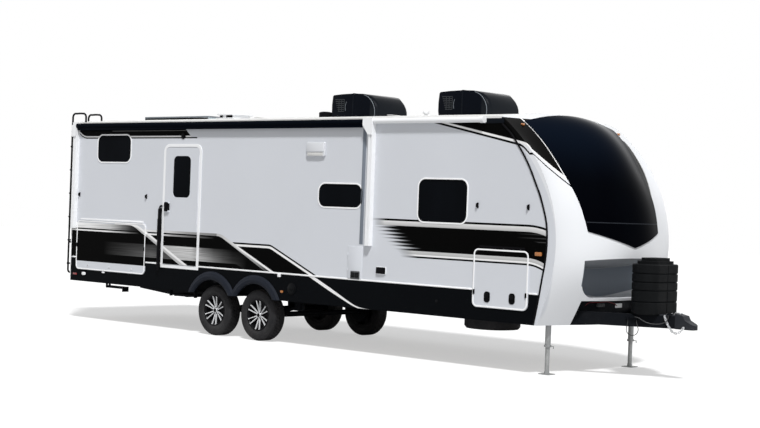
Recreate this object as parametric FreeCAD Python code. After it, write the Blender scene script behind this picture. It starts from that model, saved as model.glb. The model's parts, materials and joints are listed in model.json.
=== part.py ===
import FreeCAD
import Part
import math
import os

# Long travel trailer on two axles, with a door side towards -Y and its coupler at +X.
# X runs forward, Z up from the ground, and the sizes are in millimetres.
# Places along X are measured from the rear wall and shifted to the middle at the end.

# Body shell
body_width = 2440.0
skirt_bottom = 600.0
belt_height = 965.0
wall_top = 3030.0
roof_edge = 3090.0
roof_crown = 3180.0
wall_thick = 45.0
skirt_thick = 20.0
shell_thick = 25.0
floor_low = 800.0
floor_top = 880.0
floor_end = 9140.0

# Front cap
cap_start = 8560.0
cap_reach = 1165.0
seam_reach = 745.0
seam_gap = 3.0
seam_back = 400.0
mid_section = 760.0
glass_thick = 12.0
glass_start = 8700.0
chin_corner = 1735.0
chin_tip = 1550.0
glass_half_low = 756.0
glass_half_high = 955.0
recess_low = 930.0
recess_front_high = 1421.0
recess_back_high = 1264.0
recess_radius = 900.0
recess_round = 220.0
recess_ahead = 225.0
valance_half = 700.0
valance_top = 900.0
valance_thick = 20.0
valance_bow = 130.0
valance_back = 9290.0

# Clearances
seat_gap = 0.3
moving_gap = 6.0
run_gap = 0.05
overrun = 50.0

# Entry door
entry_x0 = 2225.0
entry_x1 = 3075.0
entry_z0 = 920.0
entry_z1 = 2750.0
entry_corner = 120.0
entry_frame_width = 45.0
entry_frame_proud = 10.0
entry_leaf_thick = 38.0
entry_window_x0 = 2455.0
entry_window_x1 = 2840.0
entry_window_z0 = 1965.0
entry_window_z1 = 2573.0
handle_x = 2345.0
handle_z = 1817.0
handle_width = 90.0
handle_height = 150.0
handle_proud = 30.0
hinge_radius = 7.0

# Storage doors, each hinged at its top edge
store_x0 = 145.0
store_x1 = 1860.0
store_z0 = 785.0
store_z1 = 1560.0
baggage_x0 = 8210.0
baggage_x1 = 9060.0
baggage_z0 = 760.0
baggage_z1 = 1483.0
flap_corner = 75.0
flap_rim = 28.0
flap_plate = 12.0
flap_thick = 40.0
flap_hinge_radius = 4.3
flap_hinge_set = 4.0
flap_hinge_strip = 24.0
bay_depth = 560.0
bay_thick = 12.0
bay_margin = 20.0

# Windows
window_rim = 26.0
window_proud = 5.0
window_corner = 80.0
pane_thick = 8.0
rear_pane = (612.0, 1420.0, 2475.0, 2880.0)
mid_pane = (5490.0, 6280.0, 1914.0, 2218.0)
front_pane = (7272.0, 8065.0, 1772.0, 2306.0)

# Slide-out room on the far side
room_x0 = 4950.0
room_x1 = 7050.0
room_z0 = 1000.0
room_z1 = 2780.0
room_travel = 780.0
room_overlap = 120.0
room_skin = 45.0
room_flange = 45.0
room_flange_thick = 20.0
room_pane_margin = 420.0
room_pane_z0 = 1650.0
room_pane_z1 = 2350.0

# Running gear
rear_axle_x = 3377.0
axle_spacing = 919.0
wheel_plane = 1055.0
tyre_radius = 359.5
tyre_seat = 85.0
tyre_bulge_radius = 265.0
tyre_bulge = 111.0
tyre_shoulder_radius = 335.0
tyre_shoulder = 104.0
tyre_tread = 72.0
tyre_flats = 64
rim_radius = 203.0
rim_width = 170.0
rim_wall = 9.0
rim_lip = 14.0
hub_radius = 62.0
hub_length = 105.0
spoke_pairs = 6
spoke_width = 17.0
spoke_spread = 15.0
spoke_depth = 26.0
dish_depth = 34.0
barrel_floor_thick = 10.0
spindle_radius = 22.0
axle_radius = 38.0
drum_radius = 155.0
drum_depth = 55.0
drum_plane_gap = 12.0
spring_width = 60.0
spring_thick = 32.0
spring_sag = 70.0
hanger_drop = 90.0
hanger_length = 90.0
arch_radius = 440.0
flare_radius = 560.0
flare_proud = 38.0

# Chassis
rail_y = 800.0
rail_width = 90.0
rail_web = 12.0
rail_flange = 14.0
rail_low = 580.0
rail_short = 100.0
cross_count = 9
cross_depth = 110.0
cross_width = 60.0
draw_low = 620.0
draw_high = 770.0
draw_width = 75.0
tongue_reach = 906.0
coupler_length = 401.0
coupler_width = 140.0
coupler_low = 617.0
coupler_high = 800.0
ball_radius = 29.8
ball_depth = 38.0
ball_back = 71.0
tongue_plate_thick = 12.0

# Safety chain on the curb side of the drawbar; its places are given back from the coupler's tip
chain_wire = 8.0
chain_inner = 12.0
chain_pitch = 30.0
chain_links = 14
chain_top = (361.0, 765.0)
chain_sag = (226.0, -150.0, 455.0)
chain_end = (131.0, 640.0)
lug_size = 26.0
lug_thick = 12.0

# Brake lead and power lead, which hang from clips on the drawbar; their routes run back from the tip
brake_lead_diameter = 9.0
brake_lead_back = ((746, -331, 700), (746, -331, 655), (761, -336, 608), (759, -338, 560), (726, -334, 524),
                   (676, -322, 512), (631, -309, 534), (613, -298, 582), (634, -290, 630), (653, -287, 664),
                   (653, -287, 700))
power_lead_diameter = 12.0
power_lead_back = ((666, -312, 738), (620, -312, 738), (572, -296, 706), (525, -268, 679), (469, -240, 667),
                   (413, -212, 667), (368, -188, 675), (334, -170, 691), (311, -157, 717), (301, -150, 749),
                   (301, -150, 782))
clip_size = 30.0
clip_height = 40.0

# Legs and steps
leg_x = 9130.0
leg_y = 890.0
leg_outer = 70.0
leg_inner = 54.0
leg_wall = 4.0
leg_housing_low = 330.0
leg_collar = 10.0
leg_collar_height = 24.0
leg_hook = 55.0
leg_hook_bar = 8.0
leg_hook_drop = 30.0
leg_top = 560.0
foot_size = 150.0
foot_thick = 10.0
foot_rib = 30.0
stab_x = 430.0
stab_y = 800.0
stab_z = 520.0
stab_length = 430.0
stab_bar = 40.0
stab_foot = 120.0
stab_foot_thick = 12.0
stab_pin = 10.0
step_x0 = 2360.0
step_x1 = 2900.0
step_y = 1110.0
step_z = 530.0
step_reach = 260.0
step_tread = 210.0
step_thick = 25.0
step_bar = 14.0
step_pin = 9.0

# Propane cover and spare wheel
cover_share = 0.3366
cover_low = 770.0
cover_high = 1446.0
cover_shoulder = 1372.0
cover_length = 360.0
cover_width = 660.0
cover_corner = 150.0
cover_bulge = 12.0
cover_seam = 14.0
lid_length = 200.0
lid_width = 400.0
lid_corner = 60.0
spare_cross = 7
spare_y = -380.0
spare_low = 430.0
hoist_width = 60.0
hoist_plate = 180.0

# Roof gear
ac_length = 900.0
ac_width = 700.0
ac_high = 3510.0
ac_nose_corner = 200.0
ac_tail_corner = 60.0
ac_rear_x = 4790.0
ac_front_x = 6770.0
ac_slots = 6
ac_slot = 14.0
ac_slot_depth = 16.0
ac_slot_pitch = 30.0
ac_slot_length = 200.0
roof_panel_x = 830.0
roof_panel_length = 1530.0
roof_panel_width = 1000.0
roof_panel_rise = 30.0
roof_panel_thick = 20.0
vent_x = 2780.0
vent_y = -350.0
vent_size = 400.0
vent_rise = 60.0
vent_lid_edge = 30.0
dome_x = 4571.0
dome_y = -220.0
dome_radius = 100.0
dome_rise = 60.0
knob_x = 6274.0
knob_radius = 45.0
knob_stem = 22.0
knob_rise = 90.0
knob_cap = 40.0

# Awning along the door side
awning_radius = 40.0
awning_z = 3030.0
arm_rear_x = 50.0
arm_front_x = 6424.0
arm_width = 70.0
arm_depth = 70.0
arm_low = 1425.0
arm_foot = 90.0
arm_groove = 12.0
head_reach = 96.0
head_low = 2868.0
head_top = 3085.0
head_depth = 86.0
topper_end = 8267.0
topper_radius = 36.0
topper_cap_radius = 42.0
topper_cap_length = 62.0
topper_z = 3045.0

# Fittings on the curb wall
light_x = 5421.0
light_z = 2678.0
light_width = 345.0
light_height = 196.0
light_depth = 45.0
hatch_x = 6201.0
hatch_z = 1190.0
hatch_width = 273.0
hatch_height = 440.0
hatch_proud = 8.0
louvre_z = 1024.0
louvre_width = 196.0
louvre_height = 99.0
louvre_proud = 6.0
louvre_slots = 5
louvre_slot = 7.0
outlet_x = 6676.0
outlet_z = 1115.0
outlet_width = 153.0
outlet_height = 82.0
outlet_depth = 26.0
cap_hatch_x = 5035.0
cap_hatch_z = 773.0
cap_hatch_radius = 68.0
cap_hatch_proud = 8.0
grab_x = 2190.0
grab_z0 = 895.0
grab_z1 = 1790.0
grab_radius = 14.0
grab_off = 60.0
grab_bend = 45.0
catch_width = 34.0
catch_height = 56.0
catch_depth = 30.0
catch_places = ((177.0, 1957.0), (1836.0, 1959.0), (8238.0, 1999.0), (9018.0, 1996.0))
marker_radius = 20.0
marker_depth = 14.0
marker_places = ((9191.0, 1446.0), (4844.0, 726.0))

# Rear of the body
ladder_radius = 12.5
ladder_y0 = 1200.0
ladder_y1 = 900.0
ladder_off = 100.0
ladder_low = 720.0
ladder_over = 240.0
ladder_top = 3290.0
ladder_bend = 70.0
rung_pitch = 370.0
rung_first = 860.0
rung_count = 6
lamp_radius = 75.0
lamp_depth = 30.0
lamp_y = 1020.0
lamp_z = 1120.0

half = body_width / 2
room_depth = room_travel + room_overlap
front_axle_x = rear_axle_x + axle_spacing
coupler_tip = cap_start + cap_reach + tongue_reach
coupler_back = coupler_tip - coupler_length
ball_x = coupler_tip - ball_back
cover_x = cap_start + cap_reach + cover_share * tongue_reach
tongue_plate_x = cover_x + cover_length / 2 + seat_gap
brake_lead_route = [(coupler_tip - back, y, z) for back, y, z in brake_lead_back]
power_lead_route = [(coupler_tip - back, y, z) for back, y, z in power_lead_back]
shift = (ladder_off + ladder_radius - coupler_tip) / 2


def box(x0, x1, y0, y1, z0, z1):
    return Part.makeBox(x1 - x0, y1 - y0, z1 - z0, FreeCAD.Vector(x0, y0, z0))


def disc(centre, axis, radius, length):
    return Part.makeCylinder(radius, length, FreeCAD.Vector(*centre), FreeCAD.Vector(*axis))


def bar_y(x, z, radius, y0, y1):
    return disc((x, y0, z), (0, 1, 0), radius, y1 - y0)


def fuse(shapes):
    whole = shapes[0]
    if len(shapes) > 1:
        whole = shapes[0].fuse(shapes[1:])
    return whole.removeSplitter()


def plate(x0, x1, z0, z1, corner, y0, y1):
    """A rounded rectangle on the XZ plane, from y0 to y1."""
    solid = box(x0, x1, y0, y1, z0, z1)
    upright = [e for e in solid.Edges if abs(e.Vertexes[0].Point.y - e.Vertexes[1].Point.y) > seat_gap]
    limit = min(x1 - x0, z1 - z0) / 2 - seat_gap
    return solid.makeFillet(min(corner, limit), upright)


def arched(x0, x1, z0, z1, corner, y0, y1):
    """A plate with its two upper corners rounded and its lower ones square."""
    return fuse([plate(x0, x1, z0, z1, corner, y0, y1), box(x0, x1, y0, y1, z0, z1 - corner)])


def raised(x, z, width, height, corner, depth):
    """A plate on the curb wall, about a middle point."""
    return plate(x - width / 2, x + width / 2, z - height / 2, z + height / 2, corner, -half - depth, -half)


def slice_xz(points, y0, y1):
    """A straight-edged outline on the XZ plane, drawn out from y0 to y1."""
    vectors = [FreeCAD.Vector(x, y0, z) for x, z in points]
    return Part.Face(Part.makePolygon(vectors + vectors[:1])).extrude(FreeCAD.Vector(0, y1 - y0, 0))


def crown(y):
    """Height of the roof's skin at a distance from the middle."""
    return roof_crown - (roof_crown - roof_edge) * (y / half) ** 2


def curve(points):
    """A smooth edge through the points."""
    spline = Part.BSplineCurve()
    spline.interpolate(points)
    return spline.toShape()


# The seam between the walls and the cap, as shares of its reach and of the wall's rise
seam_shares = ((0.79, 0.0), (0.93, 0.23), (1.0, 0.41), (0.91, 0.57), (0.74, 0.69), (0.33, 0.89), (0.0, 0.985))

# The cap's nose seen from the side, as shares of its reach and rise, at three places across
nose_side_shares = ((0.554, 0.0), (0.657, 0.141), (0.738, 0.293), (0.747, 0.442),
                    (0.674, 0.602), (0.528, 0.747), (0.240, 0.908), (0.0, 1.0))
nose_mid_shares = ((0.627, 0.0), (0.777, 0.137), (0.880, 0.286), (0.858, 0.431),
                   (0.767, 0.590), (0.596, 0.730), (0.343, 0.888), (0.0, 1.0))
nose_centre_shares = ((0.738, 0.0), (0.893, 0.135), (0.987, 0.281), (0.996, 0.426),
                      (0.927, 0.582), (0.773, 0.722), (0.532, 0.876), (0.0, 1.0))


def seam_points(y, back):
    rise = roof_edge - skirt_bottom
    return [FreeCAD.Vector(cap_start - back + s * seam_reach, y, skirt_bottom + t * rise)
            for s, t in seam_shares]


def nose_wire(y, shares, grow, floor_lift):
    """One closed slice of the cap's deep form, grown outwards, with its back behind the seam."""
    low = skirt_bottom + floor_lift
    high = crown(y) + grow
    nose = [FreeCAD.Vector(cap_start + s * cap_reach + grow * min(1, s * cap_reach / seam_reach), y,
                           low + t * (high - low)) for s, t in shares]
    top_back = FreeCAD.Vector(cap_start - seam_back, y, high)
    low_back = FreeCAD.Vector(cap_start - seam_back, y, low)
    ends = ((nose[-1], top_back), (top_back, low_back), (low_back, nose[0]))
    lines = [Part.makeLine(*pair) for pair in ends]
    return Part.Wire([curve(nose)] + lines)


def cap_form(grow, floor_lift):
    """The solid outer form of the cap, through five slices."""
    side = half + grow
    slices = ((-side, nose_side_shares), (-mid_section, nose_mid_shares), (0, nose_centre_shares),
              (mid_section, nose_mid_shares), (side, nose_side_shares))
    return Part.makeLoft([nose_wire(y, shares, grow, floor_lift) for y, shares in slices], True, False)


def behind_seam():
    """All that lies behind the seam, to be cut off the cap's deep form."""
    y = -half - overrun
    seam = seam_points(y, 0)
    x = cap_start - seam_back - overrun
    low = FreeCAD.Vector(seam[0].x, y, skirt_bottom - overrun)
    high = FreeCAD.Vector(seam[-1].x, y, roof_crown + overrun)
    low_back, high_back = FreeCAD.Vector(x, y, low.z), FreeCAD.Vector(x, y, high.z)
    lines = [Part.makeLine(*pair) for pair in ((seam[-1], high), (high, high_back), (high_back, low_back),
                                               (low_back, low), (low, seam[0]))]
    return Part.Face(Part.Wire([curve(seam)] + lines)).extrude(FreeCAD.Vector(0, -2 * y, 0))


def tub_form(grow):
    """The tub's deep form: an upright cylinder with a rounded foot, under a ceiling that falls backwards."""
    centre_x = cap_start + cap_reach + recess_ahead
    low = recess_low - grow
    high = recess_front_high + overrun * 2
    form = disc((centre_x, 0, low), (0, 0, 1), recess_radius + grow, high - low)
    foot = [e for e in form.Edges if e.BoundBox.ZMax < low + seat_gap]
    form = form.makeFillet(recess_round + grow, foot)
    back = centre_x - recess_radius
    slope = (recess_front_high - recess_back_high) / (cap_start + cap_reach - back)
    x0, x1 = back - grow - overrun, centre_x + recess_radius + grow + overrun
    z0, z1 = (recess_back_high + grow + slope * (x - back) for x in (x0, x1))
    top = max(high, z1) + overrun
    return form.cut(slice_xz(((x0, z0), (x1, z1), (x1, top), (x0, top)), -body_width, body_width))


def make_front_cap():
    """A shell with a rounded tub let into its chin, cut from one deep form."""
    tub = tub_form(shell_thick)
    cap = cap_form(0, 0).cut(cap_form(-shell_thick, shell_thick).cut(tub))
    cap = cap.cut(behind_seam().cut(tub)).cut(tub_form(0))
    mouth = box(cap_start, coupler_tip, -valance_half, valance_half, skirt_bottom - overrun, valance_top)
    cap = cap.cut(mouth)
    reach = leg_outer / 2 + moving_gap
    for side in (-1, 1):
        y = side * leg_y
        slot = box(leg_x - reach, leg_x + reach, y - reach, y + reach, skirt_bottom - overrun, floor_top)
        cap = cap.cut(slot)
    return cap


def make_front_glass():
    skin = cap_form(glass_thick, 0).cut(cap_form(0, 0))
    high = roof_crown + overrun
    outline = [(0, chin_tip), (glass_half_low, chin_corner), (glass_half_high, roof_edge),
               (glass_half_high, high)]
    points = [FreeCAD.Vector(glass_start, y, z) for y, z in outline]
    points += [FreeCAD.Vector(glass_start, -y, z) for y, z in reversed(outline[1:])]
    face = Part.Face(Part.makePolygon(points + points[:1]))
    return skin.common(face.extrude(FreeCAD.Vector(cap_reach * 2, 0, 0)))


def make_valance():
    """The black bulkhead between the cap's two pillars."""
    a = FreeCAD.Vector(valance_back, -valance_half, skirt_bottom)
    b = FreeCAD.Vector(valance_back + valance_bow, 0, skirt_bottom)
    c = FreeCAD.Vector(valance_back, valance_half, skirt_bottom)
    back = FreeCAD.Vector(-valance_thick, 0, 0)
    front = Part.Arc(a, b, c).toShape()
    rear = Part.Arc(c + back, b + back, a + back).toShape()
    wire = Part.Wire([front, Part.makeLine(c, c + back), rear, Part.makeLine(a + back, a)])
    plate_solid = Part.Face(wire).extrude(FreeCAD.Vector(0, 0, valance_top - skirt_bottom))
    return plate_solid.cut([make_draw_bar(-1), make_draw_bar(1)])


def side_sheet(side, thick, low, high):
    """A flat side panel from the rear wall to the seam, on one side."""
    outer = side * half
    seam = seam_points(outer, seam_gap)
    front = curve(seam)
    first = FreeCAD.Vector(0, outer, skirt_bottom)
    last = FreeCAD.Vector(0, outer, seam[-1].z)
    wire = Part.Wire([Part.makeLine(first, seam[0]), front, Part.makeLine(seam[-1], last),
                      Part.makeLine(last, first)])
    sheet = Part.Face(wire).extrude(FreeCAD.Vector(0, -side * thick, 0))
    return sheet.common(box(-overrun, coupler_tip, -body_width, body_width, low, high))


def pane_hole(pane):
    x0, x1, z0, z1 = pane
    return x0, x1, z0, z1, window_corner


def cut_plate(shape, x0, x1, z0, z1, corner, side):
    reach = (side * half - wall_thick * 2, side * half + wall_thick * 2)
    return shape.cut(plate(x0, x1, z0, z1, corner, min(reach), max(reach)))


def flap_hole(x0, x1, z0, z1):
    return x0 + flap_rim, x1 - flap_rim, z0 + flap_rim, z1 - flap_rim, flap_corner - flap_rim


store_door = (store_x0, store_x1, store_z0, store_z1)
baggage_door = (baggage_x0, baggage_x1, baggage_z0, baggage_z1)
room_pane = (room_x0 + room_pane_margin, room_x1 - room_pane_margin, room_pane_z0, room_pane_z1)
far_baggage = baggage_door


def entry_hole():
    width = entry_frame_width / 2
    return entry_x0 + width, entry_x1 - width, entry_z0 + width, entry_z1 - width, entry_corner - width


def curb_cuts(shape):
    shape = shape.cut(arched(*entry_hole(), -half - wall_thick * 2, -half + wall_thick * 2))
    for door in (store_door, baggage_door):
        shape = cut_plate(shape, *flap_hole(*door), -1)
    for pane in (rear_pane, mid_pane, front_pane):
        shape = cut_plate(shape, *pane_hole(pane), -1)
    return shape


def off_cuts(shape):
    shape = cut_plate(shape, *flap_hole(*far_baggage), 1)
    shape = cut_plate(shape, room_x0, room_x1, room_z0, room_z1, seat_gap * 2, 1)
    for pane in (rear_pane, front_pane):
        shape = cut_plate(shape, *pane_hole(pane), 1)
    return shape


def arch_cuts(shape):
    for x in (rear_axle_x, front_axle_x):
        shape = shape.cut(bar_y(x, tyre_radius, arch_radius, -body_width, body_width))
    return shape


def make_curb_wall():
    return curb_cuts(side_sheet(-1, wall_thick, belt_height, wall_top))


def make_off_wall():
    return off_cuts(side_sheet(1, wall_thick, belt_height, wall_top))


def make_curb_skirt():
    return arch_cuts(curb_cuts(side_sheet(-1, skirt_thick, skirt_bottom, belt_height)))


def make_off_skirt():
    return arch_cuts(off_cuts(side_sheet(1, skirt_thick, skirt_bottom, belt_height)))


def make_rear_wall():
    inner = half - wall_thick
    wall = box(0, wall_thick, -inner, inner, floor_top, wall_top)
    skirt = box(0, skirt_thick, -half + skirt_thick, half - skirt_thick, skirt_bottom, floor_low)
    return fuse([wall, skirt, box(0, skirt_thick, -inner, inner, floor_low, floor_top)])


def make_roof():
    points = [FreeCAD.Vector(0, y, z) for y, z in ((-half, roof_edge), (0, roof_crown), (half, roof_edge))]
    arc = Part.Arc(*points).toShape()
    low = [FreeCAD.Vector(0, half, wall_top), FreeCAD.Vector(0, -half, wall_top)]
    wire = Part.Wire([arc, Part.makeLine(points[2], low[0]), Part.makeLine(low[0], low[1]),
                      Part.makeLine(low[1], points[0])])
    return Part.Face(wire).extrude(FreeCAD.Vector(cap_start - seam_gap, 0, 0))


def make_floor():
    inner = half - wall_thick
    return box(skirt_thick, floor_end, -inner, inner, floor_low, floor_top)


def make_window_glass():
    panes = []
    for side, group in ((-1, (rear_pane, mid_pane, front_pane)), (1, (rear_pane, front_pane))):
        for pane in group:
            y = side * (half - window_proud)
            panes.append(plate(*pane_hole(pane), *sorted((y, y - side * pane_thick))))
    return Part.makeCompound(panes)


def window_ring(pane, side, out):
    x0, x1, z0, z1, corner = pane_hole(pane)
    edge = window_rim
    y0, y1 = sorted((side * out, side * (out + window_proud)))
    outer = plate(x0 - edge, x1 + edge, z0 - edge, z1 + edge, corner + edge, y0, y1)
    return outer.cut(plate(x0, x1, z0, z1, corner, y0 - overrun, y1 + overrun))


def make_window_rims():
    rings = [window_ring(pane, -1, half) for pane in (rear_pane, mid_pane, front_pane)]
    rings += [window_ring(pane, 1, half) for pane in (rear_pane, front_pane)]
    return Part.makeCompound(rings)


def make_entry_frame():
    x0, x1, z0, z1 = entry_x0, entry_x1, entry_z0, entry_z1
    outer = arched(x0, x1, z0, z1, entry_corner, -half - entry_frame_proud, -half)
    hx0, hx1, hz0, hz1, corner = entry_hole()
    liner = arched(hx0, hx1, hz0, hz1, corner, -half, -half + wall_thick)
    edge = entry_frame_width
    through = arched(x0 + edge, x1 - edge, z0 + edge, z1 - edge, entry_corner - edge, -body_width, body_width)
    return fuse([outer, liner]).cut(through)


def entry_leaf_outline():
    edge = entry_frame_width + moving_gap
    return entry_x0 + edge, entry_x1 - edge, entry_z0 + edge, entry_z1 - edge, entry_corner - edge


def make_entry_door():
    x0, x1, z0, z1, corner = entry_leaf_outline()
    front = -half - entry_frame_proud
    leaf = arched(x0, x1, z0, z1, corner, front, front + entry_leaf_thick)
    leaf = leaf.cut(plate(entry_window_x0, entry_window_x1, entry_window_z0, entry_window_z1, window_corner,
                          -body_width, body_width))
    handle = plate(handle_x - handle_width / 2, handle_x + handle_width / 2, handle_z - handle_height / 2,
                   handle_z + handle_height / 2, window_proud * 2, front - handle_proud, front)
    axis_x, axis_y = x1 + moving_gap / 2, front - seat_gap - hinge_radius
    barrel = disc((axis_x, axis_y, z0 + entry_corner), (0, 0, 1), hinge_radius, z1 - z0 - 2 * entry_corner)
    strap = box(x1 - entry_frame_width, axis_x, axis_y, front, z0 + entry_corner, z1 - entry_corner)
    return fuse([leaf, handle, barrel, strap.cut(box(x1, axis_x, front - seat_gap, front, z0, z1))])


def make_entry_glass():
    front = -half - entry_frame_proud + window_proud
    return plate(entry_window_x0, entry_window_x1, entry_window_z0, entry_window_z1, window_corner,
                 front, front + pane_thick)


def make_flap(door, side):
    """A top-hinged door: a core in the hole and a plate that laps over the wall."""
    x0, x1, z0, z1 = door
    hx0, hx1, hz0, hz1, corner = flap_hole(*door)
    gap = moving_gap
    face = side * (half + seat_gap)
    y0, y1 = sorted((face, face + side * flap_plate))
    lap = plate(x0, x1, z0, z1, flap_corner, y0, y1)
    y0, y1 = sorted((face, face - side * flap_thick))
    core = plate(hx0 + gap, hx1 - gap, hz0 + gap, hz1 - gap, corner - gap, y0, y1)
    barrel = disc((x0 + flap_corner, flap_hinge_y(side), z1), (1, 0, 0), flap_hinge_radius,
                  x1 - x0 - 2 * flap_corner)
    return fuse([lap, core, barrel])


def flap_hinge_y(side):
    """The line across that a top-hinged door turns on, just outside its plate."""
    return side * (half + seat_gap + flap_plate + flap_hinge_set)


def flap_strip(door, side):
    """The fixed leaf of a door's long hinge, on the wall above the barrel."""
    x0, x1, z0, z1 = door
    low = z1 + flap_hinge_radius + seat_gap
    y0, y1 = sorted((side * half, flap_hinge_y(side)))
    return box(x0 + flap_corner, x1 - flap_corner, y0, y1, low, low + flap_hinge_strip)


def make_bay(door, side):
    """A thin lined locker behind a door, open towards it."""
    x0, x1, z0, z1 = door
    x0, x1 = x0 - bay_margin, min(x1 + bay_margin, floor_end)
    low, high = floor_top, z1 + bay_margin
    near = side * (half - wall_thick)
    far = near - side * bay_depth
    y0, y1 = sorted((near, far - side * bay_thick))
    shell = box(x0 - bay_thick, x1 + bay_thick, y0, y1, low, high + bay_thick)
    y0, y1 = sorted((near + side * overrun, far))
    return shell.cut(box(x0, x1, y0, y1, low - overrun, high))


def make_lockers():
    return Part.makeCompound([make_bay(store_door, -1), make_bay(baggage_door, -1), make_bay(far_baggage, 1)])


def make_slide_room():
    """A five-sided room open towards the cabin, with a flange that laps over the wall."""
    gap = moving_gap
    x0, x1, z0, z1 = room_x0 + gap, room_x1 - gap, room_z0 + gap, room_z1 - gap
    room = box(x0, x1, half - room_depth, half + seat_gap, z0, z1)
    skin = room_skin
    room = room.cut(box(x0 + skin, x1 - skin, half - room_depth - overrun, half - skin, z0 + skin, z1 - skin))
    edge = room_flange
    flange = box(room_x0 - edge, room_x1 + edge, half + seat_gap, half + seat_gap + room_flange_thick,
                 room_z0 - edge, room_z1 + edge)
    px0, px1, pz0, pz1, corner = pane_hole(room_pane)
    return fuse([room, flange]).cut(plate(px0, px1, pz0, pz1, corner, 0, body_width))


def make_room_glass():
    face = half + room_flange_thick - window_proud
    px0, px1, pz0, pz1, corner = pane_hole(room_pane)
    return plate(px0, px1, pz0, pz1, corner, face - pane_thick, face)


# The flare's bulge across its rim, as shares of its width and of how far it stands out
flare_shares = ((0, 0), (0, 0.45), (0.16, 0.86), (0.42, 1), (0.78, 0.68), (1, 0.12), (1, 0))


def make_flares():
    """A soft bulged flare over both wheels of each side."""
    flares = []
    for side in (-1, 1):
        rings = []
        for x in (rear_axle_x, front_axle_x):
            points = [FreeCAD.Vector(x, side * (half + t * flare_proud), tyre_radius + arch_radius
                                     + s * (flare_radius - arch_radius)) for s, t in flare_shares]
            face = Part.Face(Part.makePolygon(points + points[:1]))
            rings.append(face.revolve(FreeCAD.Vector(x, 0, tyre_radius), FreeCAD.Vector(0, 1, 0), 360))
        flare = arch_cuts(fuse(rings))
        flares.append(flare.common(box(0, cap_start, -body_width, body_width, skirt_bottom, roof_edge)))
    return Part.makeCompound(flares)


def make_rails():
    rails = []
    for side in (-1, 1):
        y = side * rail_y
        x0, x1 = skirt_thick, floor_end - rail_short
        low = box(x0, x1, y - rail_width / 2, y + rail_width / 2, rail_low, rail_low + rail_flange)
        high = box(x0, x1, y - rail_width / 2, y + rail_width / 2, floor_low - rail_flange, floor_low)
        web = box(x0, x1, y - rail_web / 2, y + rail_web / 2, rail_low, floor_low)
        rails.append(fuse([low, high, web]))
    return Part.makeCompound(rails)


def cross_x(i):
    """Place of a crossmember along the floor."""
    start = skirt_thick + cross_width
    end = floor_end - rail_short - cross_width
    return start + i * (end - start) / (cross_count - 1)


def make_crossmembers():
    reach = rail_y - rail_width / 2
    high = floor_low - rail_flange
    beams = [box(cross_x(i) - cross_width / 2, cross_x(i) + cross_width / 2, -reach, reach,
                 floor_low - cross_depth, floor_low) for i in range(cross_count)]
    tips = []
    for side in (-1, 1):
        y0, y1 = sorted((side * (rail_y + rail_width / 2), side * (half - skirt_thick)))
        for i in range(cross_count):
            x = cross_x(i)
            tips.append(box(x - cross_width / 2, x + cross_width / 2, y0, y1, high - rail_flange * 2, high))
    return Part.makeCompound(beams + tips)


def make_draw_bar(side):
    """One leg of the A-shaped drawbar, from under the floor to the coupler."""
    x0, x1 = cross_x(cross_count - 1) + cross_width / 2, coupler_back + coupler_width
    y0, y1 = side * (rail_y - rail_width), side * draw_width / 2
    w = draw_width / 2
    points = ((x0, y0 - w), (x1, y1 - w), (x1, y1 + w), (x0, y0 + w))
    vectors = [FreeCAD.Vector(x, y, draw_low) for x, y in points]
    face = Part.Face(Part.makePolygon(vectors + vectors[:1]))
    return face.extrude(FreeCAD.Vector(0, 0, draw_high - draw_low))


# The coupler seen from the side, as shares of its length and height
coupler_side_shares = ((0, 0), (0, 1), (0.42, 0.88), (0.52, 0.6), (0.76, 0.43), (1, 0.28), (1, 0.16),
                       (0.93, 0))


def make_coupler():
    """The hitch: a stepped channel with a round nose and the ball's socket, on a plate between the bars."""
    w = coupler_width / 2
    x0 = coupler_back + coupler_width + seat_gap
    nose = disc((coupler_tip - w, 0, coupler_low), (0, 0, 1), w, coupler_high - coupler_low)
    plan = fuse([nose, box(x0, coupler_tip - w, -w, w, coupler_low, coupler_high)])
    points = [(x0 + s * (coupler_tip - x0), coupler_low + t * (coupler_high - coupler_low))
              for s, t in coupler_side_shares]
    body = plan.common(slice_xz(points, -w, w))
    body = body.cut(disc((ball_x, 0, coupler_low - overrun), (0, 0, 1), ball_radius, ball_depth + overrun))
    back, front = bar_side_y(tongue_plate_x), bar_side_y(coupler_back + coupler_width)
    outline = ((tongue_plate_x, -back), (x0, -front), (x0, front), (tongue_plate_x, back))
    vectors = [FreeCAD.Vector(x, y, draw_high) for x, y in outline]
    plate_face = Part.Face(Part.makePolygon(vectors + vectors[:1]))
    return fuse([body, plate_face.extrude(FreeCAD.Vector(0, 0, tongue_plate_thick))])


def bar_side_y(x):
    """How far the outer face of a drawbar leg stands from the middle at a place along it."""
    x0, x1 = cross_x(cross_count - 1) + cross_width / 2, coupler_back + coupler_width
    y0, y1 = rail_y - rail_width + draw_width / 2, draw_width
    return y0 + (y1 - y0) * (x - x0) / (x1 - x0)


def chain_link():
    """One link about the origin, with its length along X."""
    inner_long, inner_wide = chain_pitch / 2 - seat_gap, chain_inner / 2
    long, wide, thin = inner_long + chain_wire, inner_wide + chain_wire, chain_wire / 2
    link = box(-long, long, -wide, wide, -thin, thin)
    hole = box(-inner_long, inner_long, -inner_wide, inner_wide, -chain_wire, chain_wire)
    shapes = []
    for shape, size in ((link, chain_wire), (hole, chain_wire / 2)):
        upright = [e for e in shape.Edges if abs(e.Vertexes[0].Point.z - e.Vertexes[1].Point.z) > seat_gap]
        shapes.append(shape.makeChamfer(size, upright))
    return shapes[0].cut(shapes[1])


def lug(x, y, z, length):
    """A small ear that holds one end of the chain, from y inwards."""
    return box(x - lug_thick / 2, x + lug_thick / 2, y, y + length, z - lug_size / 2, z + lug_size / 2)


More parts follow.
